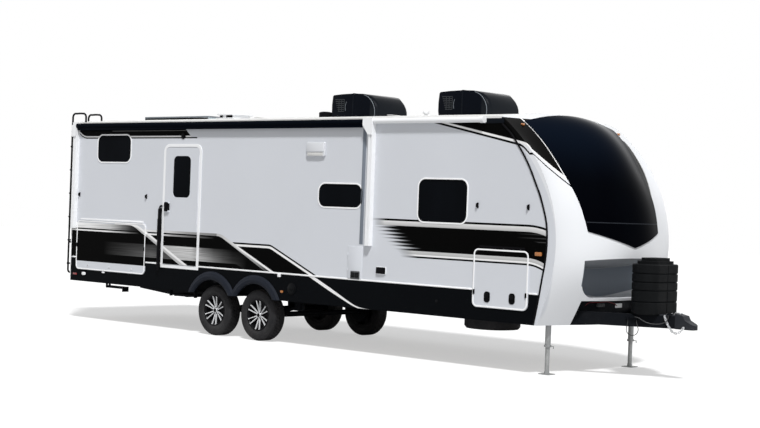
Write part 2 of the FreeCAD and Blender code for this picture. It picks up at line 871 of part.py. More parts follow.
def make_safety_chain():
    """A slack run of links from the drawbar to the coupler, held by an ear at each end."""
    top_x, end_x = coupler_tip - chain_top[0], coupler_tip - chain_end[0]
    top_y = -bar_side_y(top_x) - lug_size / 2
    end_y = -coupler_width / 2 - lug_size / 2
    hang = Part.BezierCurve()
    hang.setPoles([FreeCAD.Vector(top_x, top_y, chain_top[1]),
                   FreeCAD.Vector(coupler_tip - chain_sag[0], chain_sag[1], chain_sag[2]),
                   FreeCAD.Vector(end_x, end_y, chain_end[1])])
    points = hang.toShape().discretize(Number=chain_links + 1)
    pieces = []
    for i, (a, b) in enumerate(zip(points, points[1:])):
        link = chain_link()
        link.rotate(FreeCAD.Vector(), FreeCAD.Vector(1, 0, 0), 90 * (i % 2))
        heading = FreeCAD.Rotation(FreeCAD.Vector(1, 0, 0), b - a)
        link.Placement = FreeCAD.Placement((a + b) / 2, heading).multiply(link.Placement)
        pieces.append(link)
    first, last = points[0], points[-1]
    pieces.append(lug(first.x, first.y, first.z, lug_size))
    pieces.append(lug(last.x, last.y, last.z, lug_size))
    return fuse(pieces).cut([make_draw_bar(-1), make_coupler()])


def lead(route, diameter):
    """A hanging lead: straight runs joined by arcs as large as the runs allow."""
    points = [FreeCAD.Vector(*point) for point in route]
    edges = []
    start = points[0]
    radii = []
    for before, corner, after in zip(points, points[1:], points[2:]):
        inward, onward = (before - corner), (after - corner)
        reach = min(inward.Length, onward.Length) * lead_arc_share
        inward.normalize()
        onward.normalize()
        turn = math.pi - inward.getAngle(onward)
        radius = reach / math.tan(turn / 2)
        radii.append(radius)
        a, b = corner + inward * reach, corner + onward * reach
        middle = (inward + onward).normalize()
        m = corner + middle * (radius / math.cos(turn / 2) - radius)
        edges.append(Part.makeLine(start, a))
        edges.append(Part.Arc(a, m, b).toShape())
        start = b
    edges.append(Part.makeLine(start, points[-1]))
    path = Part.Wire(edges)
    circle = Part.Wire(Part.makeCircle(diameter / 2, points[0], points[1] - points[0]))
    tube = path.makePipeShell([circle], True, False)
    section = math.pi * diameter ** 2 / 4
    share = round(tube.Volume / (section * path.Length), 4)
    print("lead", round(path.Length), "long, radii", [round(r) for r in radii], "volume share", share)
    return tube


# How much of the shorter run beside a turn its arc takes up
lead_arc_share = 0.45


def lead_clips():
    """The clips that the two leads come out of, seated on the drawbar's side and on the tongue plate."""
    clips = []
    s = clip_size / 2
    for x, y, z in (brake_lead_route[0], brake_lead_route[-1]):
        clips.append(box(x - s, x + s, y - s, clip_size - bar_side_y(x), z, z + clip_height))
    x, y, z = power_lead_route[0]
    clips.append(box(x - clip_height, x, y - s, clip_size - bar_side_y(x), z - s, z + s))
    x, y, z = power_lead_route[-1]
    clips.append(box(x - s, x + s, y - s, clip_size - bar_side_y(x), z, z + s))
    return [clip.cut(make_draw_bar(-1)) for clip in clips]


def tyre_ring(place):
    """A tyre of flat-sided rings, with a point of its section turned into place by a function."""
    bore = (rim_radius + run_gap) / math.cos(math.pi / tyre_flats)
    section = ((bore, tyre_seat), (tyre_bulge_radius, tyre_bulge), (tyre_shoulder_radius, tyre_shoulder),
               (tyre_radius, tyre_tread))
    section += tuple((r, -w) for r, w in reversed(section))
    rings = []
    for i in range(tyre_flats):
        angle = 2 * math.pi * i / tyre_flats
        rings.append([place(r * math.cos(angle), w, r * math.sin(angle)) for r, w in section])
    faces = []
    for here, there in zip(rings, rings[1:] + rings[:1]):
        for a, b, c, d in zip(here, here[1:] + here[:1], there[1:] + there[:1], there):
            faces.append(Part.Face(Part.makePolygon([a, b, c, d, a])))
    shell = Part.makeShell(faces)
    shell.sewShape()
    solid = Part.Solid(shell)
    return solid if solid.Volume > 0 else solid.reversed()


def make_tyre(x, side):
    return tyre_ring(lambda along, across, up: FreeCAD.Vector(x + along, side * wheel_plane + across,
                                                              tyre_radius + up))


def make_rim(x, side):
    """A barrel with a lip, a hub and pairs of spokes on the outer side."""
    y = side * wheel_plane
    w = rim_width / 2
    z = tyre_radius
    outer_y = y + side * w
    barrel = bar_y(x, z, rim_radius, y - w, y + w)
    barrel = barrel.cut(bar_y(x, z, rim_radius - rim_wall, y - w - overrun, y + w + overrun))
    lip0, lip1 = sorted((outer_y, outer_y - side * rim_lip))
    lip = bar_y(x, z, rim_radius, lip0, lip1)
    lip = lip.cut(bar_y(x, z, rim_radius - rim_lip, lip0 - overrun, lip1 + overrun))
    face = outer_y - side * dish_depth
    f0, f1 = sorted((face, face - side * spoke_depth))
    spokes = []
    for i in range(spoke_pairs):
        for turn in (-1, 1):
            angle = 360 / spoke_pairs * i + turn * spoke_spread
            spoke = box(x - spoke_width / 2, x + spoke_width / 2, f0, f1, z, z + rim_radius - rim_wall / 2)
            spoke.rotate(FreeCAD.Vector(x, y, z), FreeCAD.Vector(0, 1, 0), angle)
            spokes.append(spoke)
    h0, h1 = sorted((face + side * spoke_depth / 2, face + side * spoke_depth / 2 - side * hub_length))
    hub = bar_y(x, z, hub_radius, h0, h1)
    d0, d1 = sorted((face - side * spoke_depth, face - side * (spoke_depth + barrel_floor_thick)))
    floor = bar_y(x, z, rim_radius - rim_wall / 2, d0, d1)
    rim = fuse([barrel, lip, hub, floor] + spokes)
    s0, s1 = sorted((face - side * barrel_floor_thick, face - side * (hub_length + overrun)))
    return rim.cut(bar_y(x, z, spindle_radius + run_gap, s0, s1))


def make_axles():
    axles = []
    z = tyre_radius
    for x in (rear_axle_x, front_axle_x):
        inner = wheel_plane - rim_width / 2 - drum_plane_gap - drum_depth
        tube = bar_y(x, z, axle_radius, -inner, inner)
        spindle_end = wheel_plane + rim_width / 2 - dish_depth - spoke_depth
        pieces = [tube, bar_y(x, z, spindle_radius, -spindle_end, spindle_end)]
        for side in (-1, 1):
            y0, y1 = sorted((side * inner, side * (inner + drum_depth)))
            pieces.append(bar_y(x, z, drum_radius, y0, y1))
        axles.append(fuse(pieces))
    return Part.makeCompound(axles)


def spring_leaf(x, side):
    """A leaf pack that sags from its two eyes to rest on the axle."""
    y = side * rail_y - spring_width / 2
    reach = (front_axle_x - rear_axle_x) / 2 - hanger_length / 2
    low = tyre_radius + axle_radius
    eye = low + spring_sag
    lift = FreeCAD.Vector(0, 0, spring_thick)
    a, b, c = [FreeCAD.Vector(x + t * reach, y, z) for t, z in ((-1, eye), (0, low), (1, eye))]
    wire = Part.Wire([Part.Arc(a, b, c).toShape(), Part.makeLine(c, c + lift),
                      Part.Arc(c + lift, b + lift, a + lift).toShape(), Part.makeLine(a + lift, a)])
    return Part.Face(wire).extrude(FreeCAD.Vector(0, spring_width, 0))


def make_springs():
    parts = []
    reach = (front_axle_x - rear_axle_x) / 2
    for side in (-1, 1):
        leaves = [spring_leaf(x, side) for x in (rear_axle_x, front_axle_x)]
        hangers = []
        for x in (rear_axle_x - reach, rear_axle_x + reach, front_axle_x + reach):
            y = side * rail_y
            hangers.append(box(x - hanger_length / 2, x + hanger_length / 2, y - spring_width / 2,
                               y + spring_width / 2, rail_low - hanger_drop - spring_thick, rail_low))
        parts.append(fuse(leaves + hangers))
    return Part.makeCompound(parts)


def make_leg_housings():
    """The fixed outer tubes of the front legs, with a locking collar and its hook."""
    tubes = []
    for side in (-1, 1):
        y = side * leg_y
        low = leg_housing_low
        tube = disc((leg_x, y, low), (0, 0, 1), leg_outer / 2, floor_low - low)
        collar = disc((leg_x, y, low), (0, 0, 1), leg_outer / 2 + leg_collar, leg_collar_height)
        reach = leg_x + leg_outer / 2 + leg_hook
        b = leg_hook_bar / 2
        middle = low + leg_collar_height / 2
        hook = box(leg_x, reach, y - b, y + b, middle - b, middle + b)
        drop = box(reach - leg_hook_bar, reach, y - b, y + b, middle - leg_hook_drop, middle + b)
        tube = fuse([tube, collar, hook, drop])
        depth = floor_low - leg_wall - low + overrun
        bore = disc((leg_x, y, low - overrun), (0, 0, 1), leg_inner / 2 + seat_gap, depth)
        tubes.append(tube.cut(bore))
    return Part.makeCompound(tubes)


def make_leg(side):
    """The inner tube of a leg on its square foot."""
    y = side * leg_y
    tube = disc((leg_x, y, foot_thick), (0, 0, 1), leg_inner / 2, leg_top - foot_thick)
    f = foot_size / 2
    foot = box(leg_x - f, leg_x + f, y - f, y + f, 0, foot_thick)
    boss = disc((leg_x, y, foot_thick), (0, 0, 1), leg_inner / 2 + leg_wall, foot_rib)
    return fuse([tube, foot, boss])


def make_stabilizer(side):
    """A drop leg folded back flat under the rear of the frame."""
    y = side * stab_y
    r = stab_bar / 2
    bar = box(stab_x, stab_x + stab_length, y - r, y + r, stab_z - r, stab_z + r)
    end, f = stab_x + stab_length, stab_foot / 2
    foot = box(end, end + stab_foot_thick, y - f, y + f, stab_z - f, stab_z + r)
    eye = bar_y(stab_x, stab_z, r, y - r, y + r)
    leg = fuse([bar, foot, eye])
    return leg.cut(bar_y(stab_x, stab_z, stab_pin + run_gap, y - stab_foot, y + stab_foot))


def stabilizer_mount(side):
    """Two cheeks under a rail with the pin that a drop leg turns on."""
    y = side * stab_y
    r = stab_bar / 2 + seat_gap
    t = rail_flange
    cheeks = []
    for turn in (-1, 1):
        y0, y1 = sorted((y + turn * r, y + turn * (r + t)))
        cheeks.append(box(stab_x - r, stab_x + r, y0, y1, stab_z - r, rail_low))
    return fuse(cheeks + [bar_y(stab_x, stab_z, stab_pin, y - r - t, y + r + t)])


def make_entry_step():
    """A fold-out step, stowed upside down under the floor."""
    far, t = step_reach - step_y, step_thick / 2
    arms = [box(step_x0, step_x1, far - step_tread, far, step_z - t, step_z + t)]
    for x in (step_x0, step_x1 - step_bar):
        arms.append(box(x, x + step_bar, -step_y, far, step_z - t, step_z + t))
        arms.append(disc((x, -step_y, step_z), (1, 0, 0), t + step_bar / 4, step_bar))
    step = fuse(arms)
    return step.cut(disc((step_x0 - overrun, -step_y, step_z), (1, 0, 0), step_pin + run_gap,
                         step_x1 - step_x0 + 2 * overrun))


def step_mount():
    """Two ears under the floor with the pin that the step folds on."""
    pieces = []
    for x, turn in ((step_x0 - seat_gap, -1), (step_x1 + seat_gap, 1)):
        x0, x1 = sorted((x, x + turn * step_bar))
        pieces.append(box(x0, x1, -step_y - step_thick, -step_y + step_thick, step_z - step_thick, floor_low))
    pin = disc((step_x0 - step_bar, -step_y, step_z), (1, 0, 0), step_pin, step_x1 - step_x0 + 2 * step_bar)
    return fuse(pieces + [pin])


# Heights of the cover's bands, as shares of its body's height
cover_band_shares = (0, 0.25, 0.475, 0.64, 0.81, 1)


def upright_plate(x, length, width, corner, z0, z1):
    """A block with rounded upright corners, about a place on the middle line."""
    block = box(x - length / 2, x + length / 2, -width / 2, width / 2, z0, z1)
    upright = [e for e in block.Edges if abs(e.Vertexes[0].Point.z - e.Vertexes[1].Point.z) > seat_gap]
    return block.makeFillet(corner, upright)


def make_propane_cover():
    """A moulded cover of bulged bands with a raised lid and a parting seam down its front."""
    rise = cover_shoulder - cover_low
    bands = []
    for low, high in zip(cover_band_shares, cover_band_shares[1:]):
        z0, z1 = cover_low + low * rise, cover_low + high * rise
        band = upright_plate(cover_x, cover_length, cover_width, cover_corner, z0, z1)
        rims = [e for e in band.Edges if e.BoundBox.ZMax - e.BoundBox.ZMin < seat_gap]
        bands.append(band.makeChamfer(cover_bulge, rims))
    length, width = (cover_length + lid_length) / 2, (cover_width + lid_width) / 2
    dome = upright_plate(cover_x, length, width, cover_corner - lid_corner / 2, cover_shoulder - cover_bulge,
                         (cover_shoulder + cover_high) / 2)
    lid = upright_plate(cover_x, lid_length, lid_width, lid_corner, cover_shoulder, cover_high)
    cover = fuse(bands + [dome, lid])
    front = cover_x + cover_length / 2
    s = cover_seam / 2
    seam = box(front - cover_bulge / 2, front + overrun, -s, s, cover_low, cover_shoulder)
    return cover.cut(seam)


def make_spare():
    """The spare lies flat, with its dished steel wheel facing up."""
    x = cross_x(spare_cross)
    middle = spare_low + tyre_bulge
    ring = tyre_ring(lambda along, across, up: FreeCAD.Vector(x + along, spare_y + up, middle - across))
    flats = (rim_radius + run_gap) / math.cos(math.pi / tyre_flats) + seat_gap
    wheel_disc = disc((x, spare_y, middle - tyre_seat), (0, 0, 1), flats, dish_depth)
    s = hoist_width / 2
    post = box(x - s, x + s, spare_y - s, spare_y + s, spare_low, floor_low)
    return fuse([ring, wheel_disc]).cut(post)


def spare_hoist():
    """A post under a crossmember with a round plate that carries the spare."""
    x, s = cross_x(spare_cross), hoist_width / 2
    low = spare_low + tyre_bulge - tyre_seat - rail_flange
    post = box(x - s, x + s, spare_y - s, spare_y + s, low, floor_low - cross_depth)
    return fuse([post, disc((x, spare_y, low), (0, 0, 1), hoist_plate / 2, rail_flange)])


def make_brackets():
    mounts = [stabilizer_mount(-1), stabilizer_mount(1), step_mount(), spare_hoist()]
    return Part.makeCompound(mounts + lead_clips())


# The cooler's outline from the side, as shares of its length and height, and from behind, of its half width
cooler_top_shares = ((0.13, 1), (0.5, 0.985), (0.76, 0.82), (0.93, 0.47), (1, 0.12))
cooler_foot_shares = ((0.975, 0), (0.03, 0), (0, 0.14), (0.035, 0.9))
cooler_end_shares = ((-1, 0.14), (-0.97, 0.7), (-0.7, 0.92), (0, 1), (0.7, 0.92), (0.97, 0.7), (1, 0.14))
cooler_tuck_shares = ((0.95, 0), (-0.95, 0))


def make_ac(x0):
    """A moulded rooftop cooler, where its side, end and plan outlines meet, with louvres at its tail."""
    low = crown(ac_width / 2)
    rise = ac_high - low
    half_wide = ac_width / 2

    def side_point(s, t):
        return FreeCAD.Vector(x0 + s * ac_length, -ac_width, low + t * rise)

    def end_point(s, t):
        return FreeCAD.Vector(x0 - overrun, s * half_wide, low + t * rise)

    top = [side_point(*pair) for pair in cooler_top_shares]
    foot = [side_point(*pair) for pair in cooler_foot_shares]
    side = Part.Face(Part.Wire([curve(top), Part.makePolygon([top[-1]] + foot + [top[0]])]))
    over = [end_point(*pair) for pair in cooler_end_shares]
    tuck = [end_point(*pair) for pair in cooler_tuck_shares]
    end = Part.Face(Part.Wire([curve(over), Part.makePolygon([over[-1]] + tuck + [over[0]])]))
    plan = box(x0, x0 + ac_length, -half_wide, half_wide, low, ac_high)
    for x, corner in ((x0, ac_tail_corner), (x0 + ac_length, ac_nose_corner)):
        edges = [e for e in plan.Edges if e.BoundBox.ZMax - e.BoundBox.ZMin > overrun
                 and abs(e.BoundBox.XMin - x) < seat_gap]
        plan = plan.makeFillet(corner, edges)
    block = side.extrude(FreeCAD.Vector(0, 2 * ac_width, 0)).common(end.extrude(FreeCAD.Vector(
        ac_length + 2 * overrun, 0, 0)))
    block = block.common(plan)
    slots = []
    for i in range(ac_slots):
        z = low + rise / 2 + (i - (ac_slots - 1) / 2) * ac_slot_pitch
        for turn in (-1, 1):
            y0, y1 = sorted((turn * (half_wide - ac_slot_depth), turn * (half_wide + overrun)))
            start = x0 + ac_tail_corner
            slots.append(box(start, start + ac_slot_length, y0, y1, z - ac_slot / 2, z + ac_slot / 2))
    return block.cut(slots).cut(make_roof())


def make_roof_panel():
    x0, x1 = roof_panel_x, roof_panel_x + roof_panel_length
    y = roof_panel_width / 2
    top = roof_crown + roof_panel_rise
    panel = box(x0, x1, -y, y, top - roof_panel_thick, top)
    curbs = [box(x, x + roof_panel_thick, -y, y, roof_edge, top) for x in (x0, x1 - roof_panel_thick)]
    return fuse([panel] + curbs).cut(make_roof())


def make_roof_vent():
    """What else stands on the roof: a vent with its lid, a low dome and a small knob."""
    r = vent_size / 2
    low = roof_edge
    high = crown(vent_y) + vent_rise
    lid = box(vent_x - r, vent_x + r, vent_y - r, vent_y + r, high - vent_lid_edge, high)
    s = r - vent_lid_edge
    vent = fuse([lid, box(vent_x - s, vent_x + s, vent_y - s, vent_y + s, low, high)])
    top = crown(dome_y) + dome_rise
    dome = fuse([disc((dome_x, dome_y, low), (0, 0, 1), dome_radius, top - dome_rise / 2 - low),
                 Part.makeCone(dome_radius, dome_radius / 2, dome_rise / 2,
                               FreeCAD.Vector(dome_x, dome_y, top - dome_rise / 2))])
    peak = roof_crown + knob_rise
    knob = fuse([disc((knob_x, 0, low), (0, 0, 1), knob_stem, peak - low),
                 disc((knob_x, 0, peak - knob_cap), (0, 0, 1), knob_radius, knob_cap)])
    return Part.makeCompound([piece.cut(make_roof()) for piece in (vent, dome, knob)])


def make_awning():
    y = -half - awning_radius
    x0, x1 = arm_rear_x + arm_width, arm_front_x - head_reach
    return disc((x0, y, awning_z), (1, 0, 0), awning_radius, x1 - x0)


def awning_arm(x, reach):
    """A channel arm on the wall, with the tapered head that holds the roller and may reach back over it."""
    far = -half - arm_depth
    arm = box(x, x + arm_width, far, -half, arm_low, head_low)
    groove = box(x + arm_width / 2 - arm_groove / 2, x + arm_width / 2 + arm_groove / 2, far - overrun,
                 far + arm_groove, arm_low + arm_foot, head_low)
    outline = ((x - reach, head_top), (x + arm_width, head_top), (x + arm_width, head_low), (x, head_low),
               (x - reach, awning_z - awning_radius))
    head = slice_xz(outline, -half - head_depth, -half)
    return fuse([arm.cut(groove), head])


def make_awning_arms():
    front = awning_arm(arm_front_x, head_reach)
    x0 = arm_front_x + arm_width
    y = -half - topper_cap_radius
    topper = disc((x0, y, topper_z), (1, 0, 0), topper_radius, topper_end - x0)
    end = disc((topper_end, y, topper_z), (1, 0, 0), topper_cap_radius, topper_cap_length)
    return Part.makeCompound([awning_arm(arm_rear_x, 0), fuse([front, topper, end])])


def grab_handle():
    """A long bent handle beside the entry door."""
    y = -half - grab_off
    route = ((grab_x, -half, grab_z0), (grab_x, y, grab_z0), (grab_x, y, grab_z1), (grab_x, -half, grab_z1))
    return bent_tube([FreeCAD.Vector(*point) for point in route], grab_bend, grab_radius)


def louvre_panel():
    """The tall hatch ahead of the wheels, with a slotted vent in its lower part."""
    hatch = raised(hatch_x, hatch_z, hatch_width, hatch_height, hatch_proud * 2, hatch_proud)
    vent = raised(hatch_x, louvre_z, louvre_width, louvre_height, louvre_proud, hatch_proud + louvre_proud)
    panel = fuse([hatch, vent])
    pitch = louvre_height / (louvre_slots + 1)
    far = -half - hatch_proud - louvre_proud
    for i in range(louvre_slots):
        z = louvre_z - louvre_height / 2 + pitch * (i + 1)
        reach = louvre_width / 2 - pitch
        panel = panel.cut(box(hatch_x - reach, hatch_x + reach, far - overrun, far + louvre_proud,
                              z - louvre_slot / 2, z + louvre_slot / 2))
    return panel


def make_wall_fittings():
    """Lamps, hatches, catches, hinge leaves and the grab handle, each on the wall or the skirt."""
    pieces = [raised(light_x, light_z, light_width, light_height, light_depth / 2, light_depth),
              raised(outlet_x, outlet_z, outlet_width, outlet_height, outlet_depth / 2, outlet_depth),
              disc((cap_hatch_x, -half, cap_hatch_z), (0, -1, 0), cap_hatch_radius, cap_hatch_proud),
              louvre_panel(), grab_handle()]
    for x, z in catch_places:
        pieces.append(raised(x, z, catch_width, catch_height, catch_width / 4, catch_depth))
    for x, z in marker_places:
        pieces.append(disc((x, -half, z), (0, -1, 0), marker_radius, marker_depth))
    for door, side in ((store_door, -1), (baggage_door, -1), (far_baggage, 1)):
        pieces.append(flap_strip(door, side))
    return Part.makeCompound(pieces)


def bent_tube(points, bend, radius):
    """A round tube along straight runs joined by tangent arcs."""
    edges = []
    start = points[0]
    for before, corner, after in zip(points, points[1:], points[2:]):
        inward = (before - corner).normalize()
        onward = (after - corner).normalize()
        turn = math.pi - inward.getAngle(onward)
        reach = bend * math.tan(turn / 2)
        a = corner + inward * reach
        b = corner + onward * reach
        middle = (inward + onward).normalize()
        m = corner + middle * (bend / math.cos(turn / 2) - bend)
        edges.append(Part.makeLine(start, a))
        edges.append(Part.Arc(a, m, b).toShape())
        start = b
    edges.append(Part.makeLine(start, points[-1]))
    path = Part.Wire(edges)
    circle = Part.Wire(Part.makeCircle(radius, points[0], points[1] - points[0]))
    return path.makePipeShell([circle], True, False)


def make_ladder():
    rails = []
    for y in (-ladder_y0, -ladder_y1):
        foot = crown(y)
        route = ((0, ladder_low), (-ladder_off, ladder_low), (-ladder_off, ladder_top),
                 (ladder_over, ladder_top), (ladder_over, foot))
        rails.append(bent_tube([FreeCAD.Vector(x, y, z) for x, z in route], ladder_bend, ladder_radius))
    for i in range(rung_count):
        rails.append(bar_y(-ladder_off, rung_first + i * rung_pitch, ladder_radius, -ladder_y0, -ladder_y1))
    return fuse(rails).cut(make_roof())


def make_tail_lamps():
    lamps = [disc((0, side * lamp_y, lamp_z), (-1, 0, 0), lamp_radius, lamp_depth) for side in (-1, 1)]
    return Part.makeCompound(lamps)


def build_nodes():
    nodes = {
        "main_rails": make_rails(), "crossmembers": make_crossmembers(),
        "draw_bar_curb": make_draw_bar(-1), "draw_bar_off": make_draw_bar(1), "coupler": make_coupler(),
        "floor": make_floor(), "curb_wall": make_curb_wall(), "off_wall": make_off_wall(),
        "curb_skirt": make_curb_skirt(), "off_skirt": make_off_skirt(), "rear_wall": make_rear_wall(),
        "roof": make_roof(), "front_cap": make_front_cap(), "front_glass": make_front_glass(),
        "valance": make_valance(), "window_glass": make_window_glass(), "window_rims": make_window_rims(),
        "entry_frame": make_entry_frame(), "entry_door": make_entry_door(), "entry_glass": make_entry_glass(),
        "store_door": make_flap(store_door, -1), "baggage_door": make_flap(baggage_door, -1),
        "far_baggage_door": make_flap(far_baggage, 1), "lockers": make_lockers(),
        "slide_room": make_slide_room(), "room_glass": make_room_glass(),
        "wheel_flares": make_flares(), "axles": make_axles(), "springs": make_springs(),
        "leg_housings": make_leg_housings(), "leg_curb": make_leg(-1), "leg_off": make_leg(1),
        "brackets": make_brackets(), "stabilizer_curb": make_stabilizer(-1),
        "stabilizer_off": make_stabilizer(1), "entry_step": make_entry_step(),
        "propane_cover": make_propane_cover(), "spare_wheel": make_spare(), "cooler_rear": make_ac(ac_rear_x),
        "cooler_front": make_ac(ac_front_x), "roof_panel": make_roof_panel(), "roof_vent": make_roof_vent(),
        "awning_roll": make_awning(), "awning_arms": make_awning_arms(),
        "ladder": make_ladder(), "tail_lamps": make_tail_lamps(), "wall_fittings": make_wall_fittings(),
        "safety_chain": make_safety_chain(), "brake_lead": lead(brake_lead_route, brake_lead_diameter),
        "power_lead": lead(power_lead_route, power_lead_diameter),
    }
    for label, side in (("curb", -1), ("off", 1)):
        for end, x in (("rear", rear_axle_x), ("front", front_axle_x)):
            nodes["tyre_" + end + "_" + label] = make_tyre(x, side)
            nodes["rim_" + end + "_" + label] = make_rim(x, side)
    return nodes


os.makedirs("parts", exist_ok=True)
for name, shape in build_nodes().items():
    shape.translate(FreeCAD.Vector(shift, 0, 0))
    shape.exportStep("parts/" + name + ".step")
    print(name, len(shape.Solids), shape.isValid(), round(shape.Volume / 1e6, 1))
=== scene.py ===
import json
import math

import bpy
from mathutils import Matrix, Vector


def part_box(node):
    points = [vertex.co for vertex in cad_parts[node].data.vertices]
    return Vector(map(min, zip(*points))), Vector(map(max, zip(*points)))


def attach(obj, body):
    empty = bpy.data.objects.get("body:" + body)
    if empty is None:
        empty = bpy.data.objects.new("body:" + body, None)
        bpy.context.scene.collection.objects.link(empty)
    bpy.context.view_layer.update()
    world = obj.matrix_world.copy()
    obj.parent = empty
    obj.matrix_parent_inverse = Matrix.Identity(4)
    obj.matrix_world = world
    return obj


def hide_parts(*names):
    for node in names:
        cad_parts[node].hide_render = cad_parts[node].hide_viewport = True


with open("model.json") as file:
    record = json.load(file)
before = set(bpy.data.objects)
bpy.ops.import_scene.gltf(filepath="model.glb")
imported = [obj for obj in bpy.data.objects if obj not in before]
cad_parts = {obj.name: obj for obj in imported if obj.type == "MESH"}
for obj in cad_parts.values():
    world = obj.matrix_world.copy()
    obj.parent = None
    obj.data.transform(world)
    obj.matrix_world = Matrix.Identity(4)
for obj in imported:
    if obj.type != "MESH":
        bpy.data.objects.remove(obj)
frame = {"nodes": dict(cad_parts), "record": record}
bpy.context.scene.view_settings.view_transform = "Standard"
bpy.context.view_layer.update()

# Places along the trailer are metres forward of the rear wall's outer face
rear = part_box("rear_wall")[0][0]


# Camera and stage

# The photograph's viewpoint: its lens in millimetres, its place in metres and its turns in degrees
LENS, SHIFT_X, SHIFT_Y, FAR_CLIP = 73.16, -0.01505, 0.01434, 200.0
CAMERA_PLACE, CAMERA_TURNS = (14.91155, -15.8831, 1.9388), (89.3377, -2.1188, 42.3357)

# Strength, spread in degrees and direction of the sun and of the soft light from ahead
SUN = (3.1, 7.0, (0.45, -0.40, 0.80))
FRONT_FILL = (0.50, 50.0, (0.80, -0.59, 0.10))

# How bright the white sky is as a light, and where it is seen or mirrored
SKY_LIGHT, SKY_SEEN = 0.30, 1.0
FLOOR_SIZE, FLOOR_GREY, FLOOR_GLOW = 120.0, 0.58, 0.50
WHITE = (1.0, 1.0, 1.0, 1.0)


def make_camera():
    """The photograph's viewpoint: low, off the front corner, through a long lens."""
    data = bpy.data.cameras.new("viewpoint")
    data.lens = LENS
    data.shift_x = SHIFT_X
    data.shift_y = SHIFT_Y
    data.clip_end = FAR_CLIP
    camera = bpy.data.objects.new("viewpoint", data)
    bpy.context.collection.objects.link(camera)
    camera.location = CAMERA_PLACE
    camera.rotation_euler = [math.radians(turn) for turn in CAMERA_TURNS]
    bpy.context.scene.camera = camera


def add_light(name, strength, spread, towards):
    data = bpy.data.lights.new(name, "SUN")
    data.energy = strength
    data.angle = math.radians(spread)
    light = bpy.data.objects.new(name, data)
    bpy.context.collection.objects.link(light)
    light.rotation_euler = Vector(towards).to_track_quat("Z", "Y").to_euler()
    return light


def make_lights():
    """A high soft sun on the door side and ahead, a soft light from ahead and an even pale sky."""
    add_light("sun", *SUN)
    add_light("front_fill", *FRONT_FILL).visible_glossy = False
    world = bpy.data.worlds.new("sky")
    bpy.context.scene.world = world
    world.use_nodes = True
    net = Net(world.node_tree)
    background = world.node_tree.nodes["Background"].inputs
    ray = net.add("LightPath").outputs
    seen = net.plus(net.plus(ray["Is Camera Ray"], ray["Is Glossy Ray"]), ray["Is Transmission Ray"])
    net.put(background["Strength"], net.span(seen, 0.0, 1.0, SKY_LIGHT, SKY_SEEN))
    net.put(background["Color"], WHITE)


def make_floor():
    """A pale floor that keeps the soft shadow under the trailer."""
    bpy.ops.object.select_all(action="DESELECT")
    bpy.ops.mesh.primitive_plane_add(size=FLOOR_SIZE, location=(0.0, 0.0, 0.0))
    floor = bpy.context.object
    floor.name = "floor_stage"
    material, net, inputs = new_material("pale_floor", 0.9, specular=0.0)
    net.put(inputs["Base Color"], (FLOOR_GREY, FLOOR_GREY, FLOOR_GREY))
    net.put(inputs["Emission Color"], WHITE)
    seen = net.add("LightPath").outputs["Is Camera Ray"]
    net.put(inputs["Emission Strength"], net.times(seen, FLOOR_GLOW))
    floor.data.materials.append(material)


# Shader trees


class Net:
    """Fills a shader tree by short calls; a value is a number or another node's output."""

    def __init__(self, tree):
        self.tree = tree

    def add(self, kind, **settings):
        node = self.tree.nodes.new("ShaderNode" + kind)
        for key, value in settings.items():
            setattr(node, key, value)
        return node

    def put(self, socket, value):
        if isinstance(value, bpy.types.NodeSocket):
            self.tree.links.new(value, socket)
        elif isinstance(value, tuple) and socket.type == "RGBA" and len(value) == 3:
            socket.default_value = (*value, 1.0)
        else:
            socket.default_value = value

    def math(self, operation, *values):
        node = self.add("Math", operation=operation)
        for socket, value in zip(node.inputs, values):
            self.put(socket, value)
        return node.outputs[0]

    def plus(self, a, b):
        return self.math("ADD", a, b)

    def minus(self, a, b):
        return self.math("SUBTRACT", a, b)

    def times(self, a, b):
        return self.math("MULTIPLY", a, b)

    def square(self, value):
        return self.times(value, value)

    def scaled(self, value, rate, shift):
        return self.math("MULTIPLY_ADD", value, rate, shift)

    def over_zero(self, value):
        return self.math("MAXIMUM", value, 0.0)

    def span(self, value, low, high, out_low=0.0, out_high=1.0, smooth=False):
        node = self.add("MapRange", interpolation_type="SMOOTHSTEP" if smooth else "LINEAR")
        for key, entry in zip(("Value", "From Min", "From Max", "To Min", "To Max"),
                              (value, low, high, out_low, out_high)):
            self.put(node.inputs[key], entry)
        return node.outputs[0]

    def mix(self, amount, a, b):
        node = self.add("Mix", data_type="RGBA")
        self.put(node.inputs["Factor"], amount)
        self.put(node.inputs[6], a)
        self.put(node.inputs[7], b)
        return node.outputs[2]

    def blend(self, amount, a, b):
        node = self.add("Mix", data_type="FLOAT")
        self.put(node.inputs["Factor"], amount)
        self.put(node.inputs[2], a)
        self.put(node.inputs[3], b)
        return node.outputs[0]

    def grey(self, value):
        node = self.add("CombineColor")
        for socket in node.inputs:
            self.put(socket, value)
        return node.outputs[0]

    def coordinates(self):
        return self.add("TexCoord").outputs["Object"]

    def place(self):
        """Object coordinates, split into x, y and z."""
        split = self.add("SeparateXYZ")
        self.put(split.inputs[0], self.coordinates())
        return split.outputs

    def noise(self, scale, stretch=(1.0, 1.0, 1.0), detail=2.0, vector=None):
        mapping = self.add("Mapping")
        mapping.inputs["Scale"].default_value = stretch
        self.put(mapping.inputs["Vector"], vector or self.coordinates())
        node = self.add("TexNoise")
        node.inputs["Scale"].default_value = scale
        node.inputs["Detail"].default_value = detail
        self.put(node.inputs["Vector"], mapping.outputs[0])
        return node.outputs[0]

    def group(self, tree, **values):
        node = self.add("Group", node_tree=tree)
        for key, value in values.items():
            self.put(node.inputs[key.replace("_", " ").capitalize()], value)
        return node.outputs


